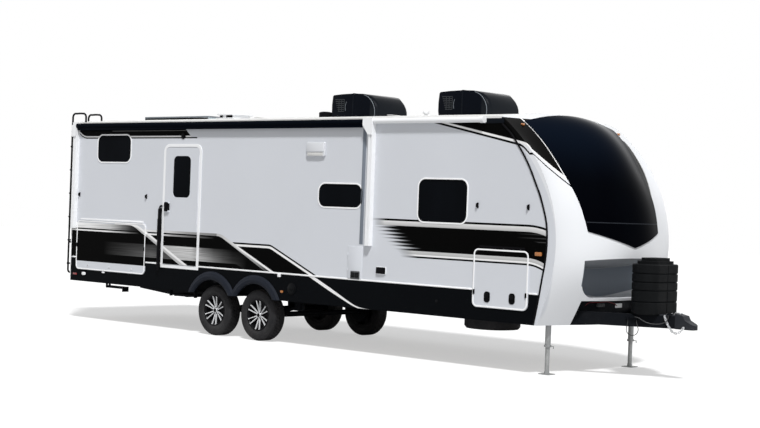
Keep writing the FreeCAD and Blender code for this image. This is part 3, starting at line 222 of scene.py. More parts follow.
def make_group(name, inputs, outputs):
    """An empty node group with named sockets: its net, its inputs and its output node."""
    tree = bpy.data.node_groups.new(name, "ShaderNodeTree")
    for label, kind, value in inputs:
        socket = tree.interface.new_socket(name=label, in_out="INPUT", socket_type=kind)
        if value is not None:
            socket.default_value = value
    for label, kind in outputs:
        tree.interface.new_socket(name=label, in_out="OUTPUT", socket_type=kind)
    net = Net(tree)
    return net, tree.nodes.new("NodeGroupInput").outputs, tree.nodes.new("NodeGroupOutput").inputs


FLOAT, COLOUR = "NodeSocketFloat", "NodeSocketColor"


def road_film_group():
    """A thin film of dust, thicker towards the ground and in soft patches."""
    net, given, out = make_group(
        "road_film", (("Colour", COLOUR, None), ("Amount", FLOAT, 0.2), ("Height", FLOAT, 0.9)),
        (("Colour", COLOUR),))
    low = net.span(net.math("DIVIDE", net.place()[2], given["Height"]), 1.0, 0.0, 0.15, 1.0, True)
    patch = net.span(net.noise(2.2, detail=5.0), 0.3, 0.75)
    speck = net.span(net.noise(46.0, detail=3.0), 0.45, 0.7, 0.55, 1.0)
    amount = net.times(net.times(low, patch), net.times(speck, given["Amount"]))
    net.put(out["Colour"], net.mix(amount, given["Colour"], (0.42, 0.40, 0.37)))
    return net.tree


def skin_group():
    """Slow ripples and faint wipe marks of a smooth painted skin: a height and a roughness."""
    net, given, out = make_group(
        "smooth_skin", (("Roughness", FLOAT, 0.3), ("Spread", FLOAT, 0.08), ("Scale", FLOAT, 1.0)),
        (("Height", FLOAT), ("Roughness", FLOAT)))
    place = net.add("VectorMath", operation="SCALE")
    net.put(place.inputs[0], net.coordinates())
    net.put(place.inputs["Scale"], given["Scale"])
    slow = net.noise(0.9, (1.0, 1.0, 0.6), 2.0, place.outputs[0])
    fine = net.noise(310.0, (1.0, 1.0, 1.0), 1.0, place.outputs[0])
    net.put(out["Height"], net.scaled(fine, 0.012, slow))
    wipe = net.span(net.noise(3.0, (1.0, 1.0, 2.0), 4.0, place.outputs[0]), 0.3, 0.7, -1.0, 1.0)
    net.put(out["Roughness"], net.scaled(wipe, given["Spread"], given["Roughness"]))
    return net.tree


def grain_group():
    """The pebbled grain of moulded plastic, cast paint and rubber: a colour, a height and a roughness."""
    net, given, out = make_group(
        "moulded_grain",
        (("Colour", COLOUR, None), ("Worn", COLOUR, None), ("Scale", FLOAT, 260.0), ("Wear", FLOAT, 0.3)),
        (("Colour", COLOUR), ("Height", FLOAT), ("Roughness", FLOAT)))
    cells = net.add("TexVoronoi", feature="F1")
    net.put(cells.inputs["Vector"], net.coordinates())
    net.put(cells.inputs["Scale"], given["Scale"])
    patch = net.span(net.noise(5.0, detail=5.0), 0.45, 0.72)
    net.put(out["Colour"], net.mix(net.times(patch, given["Wear"]), given["Colour"], given["Worn"]))
    net.put(out["Height"], cells.outputs["Distance"])
    net.put(out["Roughness"], net.span(net.noise(11.0, detail=3.0), 0.3, 0.7, 0.42, 0.62))
    return net.tree


class Stripes:
    """The painted stripes, laid one over the other as tones on places along and up the side, in metres."""

    soft = 0.002

    def __init__(self, net, along, up):
        self.net, self.along, self.up = net, along, up
        self.tone, self.cover = 0.0, 0.0

    def line(self, x, z, slope):
        """Height of a straight edge through (x, z)."""
        return self.net.scaled(self.along, slope, z - slope * x)

    def lower(self, a, b, bend=0.02):
        return self.net.math("SMOOTH_MIN", a, b, bend)

    def inside(self, depth):
        """A mask that is one where the depth is above zero, with a soft edge."""
        return self.net.scaled(depth, 1 / self.soft, 0.5)

    def below(self, edge, up=None):
        return self.inside(self.net.minus(edge, up or self.up))

    def above(self, edge, up=None):
        return self.inside(self.net.minus(up or self.up, edge))

    def ahead(self, x):
        return self.inside(self.net.minus(self.along, x))

    def behind(self, x):
        return self.inside(self.net.minus(x, self.along))

    def near(self, centre, width, up=None):
        away = self.net.math("ABSOLUTE", self.net.minus(up or self.up, centre))
        return self.inside(self.net.minus(width / 2, away))

    def all(self, *masks):
        mask = masks[0]
        for other in masks[1:]:
            mask = self.net.math("MINIMUM", mask, other)
        return self.net.over_zero(self.net.math("MINIMUM", mask, 1.0))

    def paint(self, tone, *masks):
        mask = self.all(*masks)
        self.tone = self.net.blend(mask, self.tone, tone)
        self.cover = self.net.math("MAXIMUM", self.cover, mask)

    def tone_along(self, *stops):
        """A tone that changes along the trailer, through (place, tone) stops."""
        low, high = stops[0][0], stops[-1][0]
        ramp, grey = self.net.add("ValToRGB"), self.net.add("RGBToBW")
        self.net.put(ramp.inputs[0], self.net.span(self.along, low, high))
        entries = ramp.color_ramp.elements
        for entry, (place, tone) in zip(entries, (stops[0], stops[-1])):
            entry.color = (tone, tone, tone, 1.0)
        for place, tone in stops[1:-1]:
            entries.new((place - low) / (high - low)).color = (tone, tone, tone, 1.0)
        self.net.put(grey.inputs[0], ramp.outputs[0])
        return grey.outputs[0]


# Tones of the paint, and the height of the rail above which the stripes lie; other places are metres
# forward of the rear wall and up, read off the photograph
WALL, BRIGHT, SILVER, INK = 0.74, 0.84, 0.48, 0.0018
BELT = 0.975


def rear_stripes(s):
    """Black fields, brushed bands and slanted edges from the rear corner to past the wheels."""
    brush = s.net.span(s.net.noise(9.0, (0.12, 1.0, 9.0), 4.0), 0.25, 0.75, 0.55, 1.45)
    first_high = s.lower(1.537, s.line(2.1, 1.322, -0.467), 0.06)
    first_low = s.lower(1.518, s.line(2.1, 1.247, -0.482), 0.06)
    main_high = s.lower(1.467, s.line(3.8, 1.352, -0.427), 0.05)
    main_low = s.lower(1.434, s.line(3.8, 1.303, -0.465), 0.05)
    far_black = s.lower(1.347, s.line(5.0, 1.175, -0.41), 0.03)
    far_white = s.lower(1.322, s.line(5.0, 1.145, -0.41), 0.03)
    field = s.above(BELT)
    # Behind the main slant
    s.paint(INK, field, s.below(main_low), s.behind(4.7))
    tone = s.tone_along((1.9, WALL), (2.4, 0.60), (2.8, 0.34), (3.5, 0.20))
    s.paint(tone, s.below(main_high), s.above(1.434), s.ahead(1.7), s.behind(3.5))
    s.paint(INK, s.near(1.423, 0.022), s.behind(3.5), s.below(main_low))
    tone = s.tone_along((2.1, BRIGHT), (2.5, 0.36), (2.9, 0.15), (3.4, INK))
    s.paint(tone, s.near(1.400, 0.024), s.ahead(1.7), s.behind(3.4))
    high = s.tone_along((2.9, 0.48), (3.15, 0.13), (3.4, 0.035), (3.8, INK))
    low = s.tone_along((2.9, 0.52), (3.15, 0.42), (3.4, 0.21), (3.6, 0.09), (3.8, 0.035), (4.1, INK))
    height = s.net.span(s.up, 1.06, 1.245)
    brushed = s.net.times(s.net.blend(height, low, high), brush)
    floor = s.lower(1.052, s.line(3.9, 1.045, -0.35), 0.02)
    s.paint(brushed, s.above(floor), s.below(1.248), s.ahead(1.7), s.behind(4.2), s.below(main_low))
    # Behind the first slant
    s.paint(INK, field, s.below(first_low), s.behind(3.0))
    s.paint(INK, s.above(0.918), s.below(0.98), s.ahead(0.15), s.behind(1.862))
    top = s.tone_along((0.0, 0.74), (0.6, 0.70), (1.0, 0.58), (1.3, 0.17), (1.5, 0.035), (1.7, INK))
    s.paint(s.net.times(top, brush), s.below(first_low), s.above(1.436), s.behind(1.8))
    s.paint(INK, s.near(1.424, 0.023), s.below(first_low), s.behind(1.8), s.ahead(0.05))
    tone = s.tone_along((0.9, BRIGHT), (1.3, 0.36), (1.5, 0.10), (1.7, INK))
    s.paint(tone, s.near(1.403, 0.022), s.below(first_low), s.behind(1.75))
    high = s.tone_along((0.85, INK), (1.4, 0.022), (2.0, 0.035), (2.3, 0.02))
    low = s.tone_along((0.85, INK), (1.4, 0.05), (2.0, 0.12), (2.3, 0.09))
    brushed = s.net.times(s.net.blend(height, low, high), brush)
    s.paint(brushed, s.above(1.05), s.below(1.245), s.behind(2.6), s.below(first_low), s.ahead(0.85))
    # The first slant's own edge
    depth = s.net.math("DIVIDE", s.net.minus(first_high, s.up), 0.08)
    edge = s.net.blend(s.net.span(depth, 0.35, 0.6), BRIGHT, SILVER)
    s.paint(edge, s.below(first_high), s.above(first_low), s.ahead(1.1), s.above(BELT))
    # The main slant's own edge
    depth = s.net.math("DIVIDE", s.net.minus(main_high, s.up), 0.065)
    silver = s.tone_along((3.5, 0.55), (4.0, 0.48), (4.3, 0.28), (4.5, 0.04))
    bright = s.tone_along((3.5, 0.50), (3.8, 0.66), (4.0, BRIGHT))
    edge = s.net.blend(s.net.span(depth, 0.4, 0.6), bright, silver)
    s.paint(edge, s.below(main_high), s.above(main_low), s.ahead(3.45), field)
    # The last slanted field
    past = s.above(main_high)
    s.paint(INK, s.below(far_white), past, field, s.ahead(3.8))
    s.paint(BRIGHT, s.near(far_white, 0.034), past, field, s.ahead(3.8))
    s.paint(INK, s.near(far_black, 0.024), past, field, s.ahead(3.8))


def front_stripes(s):
    """The long band that ends at the cap's seam, streaked away at its rear end."""
    streak = s.net.span(s.net.noise(26.0, (0.05, 0.0, 1.0), 2.0), 0.3, 0.7, -1.0, 1.0)
    past = s.net.over_zero(s.net.minus(s.along, 9.0))
    curl = s.net.times(s.net.square(past), s.net.span(s.up, 1.25, 1.78, 0.82, 0.42))
    up = s.net.plus(s.up, curl)
    start = s.net.scaled(s.up, -1.241, 6.474 + 1.241 * 1.721)
    run = s.net.minus(s.along, start)
    lines = s.net.math("SINE", s.net.times(s.up, math.tau / 0.045))
    ragged = s.net.scaled(streak, 0.07, s.net.times(lines, 0.11))
    solid = s.net.span(s.net.plus(ragged, run), 0.05, 0.36, 0.0, 1.0, True)
    fine = s.net.span(run, 0.05, 0.30)
    s.paint(INK, s.near(1.777, 0.026, up), s.net.span(s.along, 6.47, 6.72))
    silver = s.net.span(up, 1.70, 1.765, 0.46, 0.76)
    s.paint(silver, s.below(1.764, up), s.above(1.703, up), s.net.span(s.along, 6.52, 6.70))
    s.paint(INK, s.below(1.704, up), s.above(1.394, up), solid)
    worn = s.net.times(s.net.span(lines, 0.4, 1.0, 0.0, 0.045), s.net.span(s.along, 8.85, 9.25))
    s.paint(s.net.plus(worn, INK), s.below(1.704, up), s.above(1.60, up), s.ahead(8.85))
    silver = s.net.span(up, 1.352, 1.392, 0.46, 0.58)
    s.paint(silver, s.below(1.394, up), s.above(1.351, up), fine)
    s.paint(BRIGHT, s.near(1.340, 0.022, up), fine)
    s.paint(INK, s.near(1.317, 0.022, up), s.net.span(run, 0.02, 0.30))


def upper_stripes(s, across):
    """The dark swoosh that runs up over the cap, and the dark band under the rear of the awning."""
    behind = s.net.over_zero(s.net.scaled(s.along, -0.9, 0.9 * 9.0))

    def cap_line(height, place, slope):
        """Height of a line on the cap, which climbs with the place across the trailer."""
        return s.net.plus(s.net.scaled(across, slope, height - slope * place), behind)

    white = s.lower(s.line(7.9, 2.962, -0.2), cap_line(2.359, 0.848, 0.973), 0.06)
    black = s.lower(s.line(7.9, 2.938, -0.207), cap_line(2.303, 0.873, 0.954), 0.06)
    ahead = s.all(s.ahead(7.3), s.above(2.2))
    s.paint(INK, s.above(white), s.ahead(7.55), s.below(3.075), ahead)
    s.paint(BRIGHT, s.near(white, 0.028), ahead)
    s.paint(INK, s.near(black, 0.026), ahead)
    # A white line along the glass's edge: the cap's own white, painted brighter as the highlight on its
    # crease
    edge = s.net.scaled(s.up, 0.137, 0.757 - 0.137 * 1.741)
    s.paint(BRIGHT, s.near(s.net.plus(edge, 0.008), 0.026, across), s.ahead(8.4), s.above(white))
    back = s.net.over_zero(s.net.minus(0.32, s.along))
    up = s.net.scaled(s.net.square(back), -1.9, s.up)
    slant = s.net.scaled(s.up, -1.2, 2.80 + 1.2 * 2.872)
    end = s.behind(slant)
    s.paint(INK, s.above(2.872, up), s.ahead(0.06), end)
    s.paint(0.14, s.near(2.947, 0.009, up), s.ahead(0.95), s.behind(2.72))
    s.paint(BRIGHT, s.near(2.861, 0.020, up), s.ahead(0.06), end)
    s.paint(INK, s.near(2.841, 0.018, up), s.ahead(0.06), s.behind(2.95))


def paint_side(s, y):
    rear_stripes(s)
    front_stripes(s)
    upper_stripes(s, s.net.math("ABSOLUTE", y))


def paint_cap(s, y):
    """The swoosh on the curb side of the cap, and the dark field beyond the glass on the far side."""
    upper_stripes(s, s.net.math("ABSOLUTE", y))
    s.cover = s.net.times(s.cover, s.net.math("LESS_THAN", y, 0.0))
    drop = s.net.over_zero(s.net.minus(2.62, s.up))
    side = s.net.scaled(s.net.square(drop), -0.95, 1.035)
    crown = s.net.scaled(s.net.square(y), -0.21, 3.12)
    beyond = s.all(s.above(0.0, y), s.above(2.05), s.below(crown))
    s.paint(INK, beyond, s.below(side, y))
    s.paint(0.26, beyond, s.near(s.net.plus(side, 0.010), 0.020, y), s.below(2.84))


def paint_skirt(s, _):
    """The last white stripe's run over the skirt, thinning out towards the front."""
    centre = s.net.math("SMOOTH_MAX", s.line(5.8, 0.795, -0.42), 0.597, 0.09)
    width = s.net.span(s.along, 5.75, 6.62, 0.048, 0.0)
    away = s.net.math("ABSOLUTE", s.net.minus(s.up, centre))
    s.paint(BRIGHT, s.inside(s.net.minus(s.net.times(width, 0.5), away)), s.ahead(5.2), s.behind(6.62))


def stripe_group(name, paint):
    """A group that lays the stripes of one surface over its colour."""
    net, given, out = make_group(name, (("Colour", COLOUR, None),), (("Colour", COLOUR),))
    x, y, z = net.place()
    s = Stripes(net, net.minus(x, rear), z)
    paint(s, y)
    net.put(out["Colour"], net.mix(s.cover, given["Colour"], net.grey(s.tone)))
    return net.tree


road_film = road_film_group()
skin = skin_group()
grain = grain_group()
side_stripes = stripe_group("side_stripes", paint_side)
skirt_stripes = stripe_group("skirt_stripes", paint_skirt)
cap_swoosh = stripe_group("cap_swoosh", paint_cap)


# Materials


def new_material(name, roughness=0.4, metallic=0.0, specular=0.5, coat=0.0):
    material = bpy.data.materials.new(name)
    material.use_nodes = True
    inputs = material.node_tree.nodes["Principled BSDF"].inputs
    for key, value in (("Roughness", roughness), ("Metallic", metallic), ("Specular IOR Level", specular),
                       ("Coat Weight", coat), ("Coat Roughness", 0.1)):
        inputs[key].default_value = value
    return material, Net(material.node_tree), inputs


def bump(net, inputs, height, strength, distance):
    node = net.add("Bump")
    node.inputs["Strength"].default_value = strength
    node.inputs["Distance"].default_value = distance
    net.put(node.inputs["Height"], height)
    net.put(inputs["Normal"], node.outputs[0])


def filmed(net, inputs, colour, amount):
    """The base colour, under the film of dust."""
    net.put(inputs["Base Color"], net.group(road_film, colour=colour, amount=amount)["Colour"])


def rippled(net, inputs, roughness, spread, strength, distance):
    """The wipe marks and ripples of a smooth skin."""
    marks = net.group(skin, roughness=roughness, spread=spread)
    net.put(inputs["Roughness"], marks["Roughness"])
    bump(net, inputs, marks["Height"], strength, distance)


def painted_skin(name, colour, roughness, stripes=None, film=0.12, specular=0.5):
    """Gloss laminate, gel coat or enamel over a panel, with a group of painted stripes where asked."""
    material, net, inputs = new_material(name, roughness, specular=specular)
    tint = net.add("VectorMath", operation="SCALE")
    tint.inputs[0].default_value = colour
    net.put(tint.inputs["Scale"], net.span(net.noise(0.7, detail=3.0), 0.3, 0.7, 0.985, 1.015))
    base = tint.outputs[0]
    if stripes:
        base = net.group(stripes, colour=base)["Colour"]
    filmed(net, inputs, base, film)
    rippled(net, inputs, roughness, roughness * 0.08, 0.05, 0.004)
    return material


def moulded(name, colour, worn, scale, wear, film, specular, depth=0.0006):
    """Grained plastic, chassis paint, membrane or rubber."""
    material, net, inputs = new_material(name, specular=specular)
    surface = net.group(grain, colour=colour, worn=worn, scale=scale, wear=wear)
    filmed(net, inputs, surface["Colour"], film)
    net.put(inputs["Roughness"], surface["Roughness"])
    bump(net, inputs, surface["Height"], 0.5, depth)
    return material


def dark_glass(name, deep, film, specular, sky=None):
    """Smoked glass over a dark room, with a faint film, and for the front a painted reflection of the sky,
    bluer towards the top, over a thin joint.
    """
    material, net, inputs = new_material(name, 0.06, specular=specular)
    streaks = net.span(net.noise(1.6, (1.0, 1.0, 0.5), 4.0), 0.35, 0.7)
    tone = net.mix(streaks, deep, film)
    if sky:
        z = net.place()[2]
        # Painted reflection of the sky: the front glass turns bluer towards its top
        tone = net.mix(net.span(z, 2.25, 3.05, smooth=True), tone, sky)
        joint = net.span(net.math("ABSOLUTE", net.minus(z, 1.845)), 0.007, 0.004)
        tone = net.mix(joint, tone, (0.022, 0.025, 0.030))
    net.put(inputs["Base Color"], tone)
    net.put(inputs["Roughness"], net.span(streaks, 0.0, 1.0, 0.05, 0.10))
    return material


# The coolers' rear ends and how far in each one's nose starts, in metres
COOLER_PLACES, NOSE_START = (4.790, 6.770), 0.74

# The tub under the cap's chin: an upright cylinder under a ceiling that falls backwards, in metres
TUB_AXIS, TUB_RADIUS = 9.95, 0.9
TUB_BACK, CEILING_BACK, CEILING_SLOPE = 9.05, 1.264, 0.2326


def in_tub(net, along, y, z):
    """Masks on the cap, for the walls and ceiling of the tub under the chin and for the ceiling alone."""
    reach = net.minus(along, TUB_AXIS)
    away = net.math("SQRT", net.plus(net.square(reach), net.square(y)))
    inside = net.math("LESS_THAN", away, TUB_RADIUS + 0.003)
    ceiling = net.scaled(net.minus(along, TUB_BACK), CEILING_SLOPE, CEILING_BACK)
    tub = net.times(inside, net.math("LESS_THAN", net.minus(z, ceiling), 0.003))
    return tub, net.times(tub, net.span(net.minus(ceiling, z), 0.004, 0.003))


def cap_skin():
    """Gel coat with the swoosh, painted shade on a strip along its rear by the seam, and the dark paint
    inside the tub under the chin, with painted shade on its walls towards the ceiling.
    """
    material, net, inputs = new_material("cap_white", 0.22, specular=0.03)
    x, y, z = net.place()
    along = net.minus(x, rear)
    tub, overhead = in_tub(net, along, y, z)
    # Dark paint on the tub's walls, with painted shade darkening them towards the ceiling
    dark_walls_and_painted_shade = net.mix(net.span(z, 0.95, 1.3), (0.27, 0.30, 0.345), (0.20, 0.225, 0.26))
    deep = net.mix(overhead, dark_walls_and_painted_shade, (0.31, 0.32, 0.335))
    # Painted shade: a strip beside the seam in the wall's darker tone, where the cap's side faces the same
    # way as the wall
    away = net.minus(z, 1.55)
    bow = net.times(net.square(away), 0.26)
    fold = net.times(net.square(net.over_zero(away)), 0.13)
    edge = net.minus(net.minus(9.43, bow), fold)
    strip = net.span(net.minus(edge, along), -0.004, 0.004)
    white = net.mix(strip, (0.745, 0.76, 0.785), (0.645, 0.665, 0.705))
    base = net.group(cap_swoosh, colour=white)["Colour"]
    rise = net.times(net.square(y), 0.24)
    lip = net.span(net.minus(net.plus(rise, 0.932), z), -0.003, 0.003)
    filmed(net, inputs, net.mix(tub, base, net.mix(lip, deep, (0.74, 0.755, 0.78))), 0.006)
    rippled(net, inputs, 0.22, 0.02, 0.04, 0.004)
    return material


def plated_steel(name, colour, roughness, spangle=0.12, metallic=0.5):
    """Zinc-plated or galvanised tube, with its cloudy crystals."""
    material, net, inputs = new_material(name, roughness, metallic=metallic)
    cells = net.add("TexVoronoi")
    cells.inputs["Scale"].default_value = 90.0
    net.put(cells.inputs["Vector"], net.coordinates())
    cloud = net.span(net.noise(8.0, detail=4.0), 0.3, 0.7)
    light = tuple(min(1.0, c * (1 + spangle)) for c in colour)
    dark = tuple(c * (1 - 2 * spangle) for c in colour)
    filmed(net, inputs, net.mix(net.scaled(cells.outputs["Distance"], 0.4, cloud), dark, light), 0.3)
    net.put(inputs["Roughness"], net.span(cloud, 0.0, 1.0, roughness - 0.08, roughness + 0.1))
    return material


def deck_wood():
    material, net, inputs = new_material("deck_wood", 0.6, specular=0.3)
    rings = net.noise(6.0, (0.4, 8.0, 8.0), 5.0)
    net.put(inputs["Base Color"], net.mix(rings, (0.30, 0.21, 0.13), (0.50, 0.39, 0.26)))
    bump(net, inputs, rings, 0.3, 0.001)
    return material


def cooler_skin():
    """Gloss over the cooler's flanks and a paler, less glossy nose, lighter low down with a painted
    reflection.
    """
    material, net, inputs = new_material("cooler_shell", 0.15, specular=0.035)
    x, _, z = net.place()
    pitch = COOLER_PLACES[1] - COOLER_PLACES[0]
    along = net.math("MODULO", net.minus(x, rear + COOLER_PLACES[0]), pitch)
    nose = net.span(along, NOSE_START - 0.01, NOSE_START + 0.01)
    # Painted reflection: the nose's tone is lighter towards its foot
    low = net.span(z, 3.20, 3.45, 1.0, 0.0, True)
    nose_with_painted_reflection = net.mix(low, (0.0040, 0.0055, 0.0080), (0.0110, 0.0130, 0.0160))
    net.put(inputs["Base Color"], net.mix(nose, (0.0016, 0.0028, 0.0058), nose_with_painted_reflection))
    marks = net.group(skin, roughness=0.15, spread=0.02)
    net.put(inputs["Roughness"], net.blend(nose, marks["Roughness"], 0.34))
    bump(net, inputs, marks["Height"], 0.05, 0.003)
    return material


def cell_panel():
    """A dark panel of cells in a fine grid, with a pale end."""
    material, net, inputs = new_material("roof_cells", 0.28, specular=0.2)
    cells = net.add("TexBrick", offset=0.0)
    cells.inputs["Scale"].default_value = 6.4
    cells.inputs["Mortar Size"].default_value = 0.012
    tones = {"Color1": (0.050, 0.062, 0.075), "Color2": (0.060, 0.072, 0.085), "Mortar": (0.30, 0.31, 0.32)}
    for key, tone in tones.items():
        net.put(cells.inputs[key], tone)
    net.put(cells.inputs["Vector"], net.coordinates())
    pale = net.span(net.minus(net.place()[0], rear), 2.170, 2.174)
    net.put(inputs["Base Color"], net.mix(pale, cells.outputs["Color"], (0.50, 0.56, 0.60)))
    rippled(net, inputs, 0.28, 0.03, 0.04, 0.003)
    return material


def awning_cloth():
    """Rolled vinyl with the fine lines of its turns along the roll."""
    material, net, inputs = new_material("awning_cloth", 0.6, specular=0.015)
    weave = net.noise(900.0, (0.2, 1.0, 1.0), 1.0)
    wraps = net.noise(30.0, (0.02, 4.0, 4.0), 2.0)
    net.put(inputs["Base Color"], net.mix(wraps, (0.0008, 0.0016, 0.0038), (0.0018, 0.0030, 0.0060)))
    bump(net, inputs, net.scaled(weave, 0.3, wraps), 0.4, 0.002)
    return material


def lamp_lens(name, colour, glow):
    """A coloured lens, ribbed inside."""
    material, net, inputs = new_material(name, 0.15, specular=0.6, coat=0.6)
    ribs = net.add("TexWave", bands_direction="Z")
    ribs.inputs["Scale"].default_value = 55.0
    net.put(ribs.inputs["Vector"], net.coordinates())
    dark = tuple(c * 0.45 for c in colour)
    net.put(inputs["Base Color"], net.mix(ribs.outputs["Fac"], dark, colour))
    inputs["Emission Color"].default_value = (*colour, 1.0)
    inputs["Emission Strength"].default_value = glow
    bump(net, inputs, ribs.outputs["Fac"], 0.4, 0.002)
    return material


wall_white = painted_skin("wall_white", (0.635, 0.655, 0.695), 0.34, side_stripes, 0.004, 0.012)
plain_white = painted_skin("plain_white", (0.67, 0.685, 0.715), 0.34, film=0.02, specular=0.05)
skirt_black = painted_skin("skirt_black", (0.0026, 0.0032, 0.0042), 0.30, skirt_stripes, 0.004, 0.02)
trim_white = painted_skin("trim_white", (0.86, 0.87, 0.885), 0.38, film=0.01, specular=0.06)
bright_trim = painted_skin("bright_trim", (0.92, 0.925, 0.935), 0.30, film=0.01, specular=0.12)
roof_white = moulded("roof_white", (0.78, 0.78, 0.77), (0.70, 0.70, 0.68), 140.0, 0.3, 0.1, 0.15)
frame_black = moulded("frame_black", (0.005, 0.006, 0.008), (0.016, 0.016, 0.017), 420.0, 0.25, 0.02, 0.04)
flare_black = moulded("flare_black", (0.0075, 0.0100, 0.0165), (0.012, 0.015, 0.023),
                      520.0, 0.3, 0.02, 0.12, 0.0003)
tyre_rubber = moulded("tyre_rubber", (0.018, 0.018, 0.020), (0.040, 0.040, 0.042), 600.0, 0.4, 0.10, 0.06)
rim_metal = painted_skin("rim_metal", (0.005, 0.005, 0.006), 0.25, film=0.01, specular=0.05)
cover_black = moulded("cover_black", (0.0045, 0.0050, 0.0056), (0.009, 0.010, 0.011), 320.0, 0.3, 0.01, 0.06)
cooler_black = moulded("cooler_black", (0.0040, 0.0055, 0.0085), (0.0060, 0.0080, 0.0115),
                       500.0, 0.3, 0.005, 0.05, 0.0002)
cooler_shell = cooler_skin()
edge_grey = moulded("edge_grey", (0.16, 0.18, 0.20), (0.10, 0.11, 0.12), 400.0, 0.3, 0.02, 0.3, 0.0002)
vent_grey = moulded("vent_grey", (0.075, 0.078, 0.082), (0.05, 0.05, 0.052), 400.0, 0.3, 0.02, 0.15, 0.0002)
louvre_grey = moulded("louvre_grey", (0.030, 0.034, 0.038), (0.05, 0.052, 0.055),
                      400.0, 0.3, 0.02, 0.2, 0.0002)
hatch_black = painted_skin("hatch_black", (0.0035, 0.004, 0.005), 0.22, film=0.01, specular=0.06)
# The grey-blue of the painted shadow beside the awning's front arm
arm_shadow_grey = painted_skin("arm_shadow_grey", (0.20, 0.225, 0.265), 0.45, film=0.01, specular=0.05)
coupler_paint = moulded("coupler_paint", (0.020, 0.022, 0.027), (0.034, 0.036, 0.040),
                        420.0, 0.3, 0.02, 0.15)
wire_red = moulded("wire_red", (0.13, 0.012, 0.016), (0.07, 0.010, 0.012), 800.0, 0.3, 0.05, 0.2, 0.0002)
roof_cells = cell_panel()
ladder_black = moulded("ladder_black", (0.006, 0.006, 0.007), (0.018, 0.018, 0.018), 500.0, 0.2, 0.01, 0.05)
liner_grey = moulded("liner_grey", (0.42, 0.42, 0.42), (0.34, 0.34, 0.33), 300.0, 0.2, 0.1, 0.15)
seal_black = moulded("seal_black", (0.004, 0.004, 0.005), (0.010, 0.010, 0.010),
                     700.0, 0.2, 0.01, 0.04, 0.0003)
lead_black = moulded("lead_black", (0.022, 0.023, 0.025), (0.04, 0.04, 0.042),
                     900.0, 0.2, 0.06, 0.45, 0.0002)
leg_steel = plated_steel("leg_steel", (0.34, 0.35, 0.355), 0.42)
bright_steel = plated_steel("bright_steel", (0.66, 0.67, 0.69), 0.30, 0.06)
machined = plated_steel("machined", (0.74, 0.75, 0.77), 0.26, 0.03, 0.35)
lens_red = lamp_lens("lens_red", (0.30, 0.015, 0.018), 0.02)
lens_amber = lamp_lens("lens_amber", (0.52, 0.17, 0.02), 0.03)
lens_clear = lamp_lens("lens_clear", (0.80, 0.80, 0.78), 0.02)
glass = dark_glass("dark_glass", (0.0025, 0.003, 0.004), (0.004, 0.005, 0.007), 0.012)
# The front glass's last colour is the bluer painted reflection at its top
front_glass = dark_glass("front_glass", (0.0008, 0.001, 0.002), (0.0012, 0.0018, 0.003), 0.003,
                         (0.0030, 0.0055, 0.0115))
wood = deck_wood()
cloth = awning_cloth()
cap_white = cap_skin()

SLOT_FINISH = {
    "wall_white": wall_white, "roof_white": roof_white, "cap_white": cap_white, "skirt_black": skirt_black,
    "dark_glass": glass, "door_white": plain_white, "frame_white": trim_white, "frame_black": frame_black,
    "floor_deck": wood, "tyre_rubber": tyre_rubber, "rim_metal": rim_metal, "leg_steel": leg_steel,
    "cover_black": cover_black, "cooler_black": cooler_black, "awning_black": cloth,
    "ladder_black": ladder_black, "lamp_red": lens_red, "liner_grey": liner_grey, "lead_black": lead_black,
}
NODE_FINISH = {
    "entry_door": wall_white, "store_door": wall_white, "baggage_door": wall_white,
    "far_baggage_door": wall_white, "wheel_flares": flare_black, "rear_wall": plain_white,
    "front_glass": front_glass, "coupler": coupler_paint, "roof_panel": roof_cells,
    "safety_chain": bright_steel,
}


def finish_nodes():
    """Gives every carried-over node its finish, by its slot in the record or by its own name."""
    slots = {entry["node"]: entry["material_slot"] for entry in frame["record"]["subparts"]}
    for name, node in frame["nodes"].items():
        material = NODE_FINISH.get(name) or SLOT_FINISH[slots[name]]
        for slot in node.material_slots:
            slot.material = material
        if not node.material_slots:
            node.data.materials.append(material)


# Modelling

# x, y and z are pairs of places, in metres; a corner is the radius of the long edges of a block, an edge
# the width by which its rims are rounded
SHARP = math.radians(35)


def object_mode():
    if bpy.context.mode != "OBJECT":
        bpy.ops.object.mode_set(mode="OBJECT")


def only(piece):
    object_mode()
    bpy.ops.object.select_all(action="DESELECT")
    piece.select_set(True)
    bpy.context.view_layer.objects.active = piece


def choose(piece, kind, test):
    """Goes into edit mode with the faces or edges selected whose middle and direction pass the test."""
    only(piece)
    mesh = piece.data
    for parts in (mesh.vertices, mesh.edges, mesh.polygons):
        parts.foreach_set("select", [False] * len(parts))
    bpy.context.tool_settings.mesh_select_mode = (False, kind == "EDGE", kind == "FACE")
    if kind == "FACE":
        for face in mesh.polygons:
            face.select = test(face.center, face.normal)
    else:
        for edge in mesh.edges:
            a, b = (mesh.vertices[i].co for i in edge.vertices)
            edge.select = test((a + b) / 2, (b - a).normalized())
    bpy.ops.object.mode_set(mode="EDIT")


def choose_all(piece):
    only(piece)
    bpy.ops.object.mode_set(mode="EDIT")
    bpy.ops.mesh.select_all(action="SELECT")


def settle(piece):
    only(piece)
    bpy.ops.object.transform_apply(location=True, rotation=True, scale=True)
    return piece


def modify(piece, kind, **settings):
    only(piece)
    modifier = piece.modifiers.new(kind.lower(), kind)
    for key, value in settings.items():
        setattr(modifier, key, value)
    bpy.ops.object.modifier_apply(modifier=modifier.name)


def outward(piece):
    choose_all(piece)
    bpy.ops.mesh.remove_doubles(threshold=0.00005)
    bpy.ops.mesh.normals_make_consistent(inside=False)
    object_mode()
    return piece


def ease(piece, width=0.002, steps=2):
    """Rounds the sharp rims and shades what is left smooth."""
    modify(piece, "BEVEL", width=width, segments=steps, limit_method="ANGLE", angle_limit=SHARP)
    only(piece)
    bpy.ops.object.shade_smooth_by_angle(angle=SHARP)
    return piece


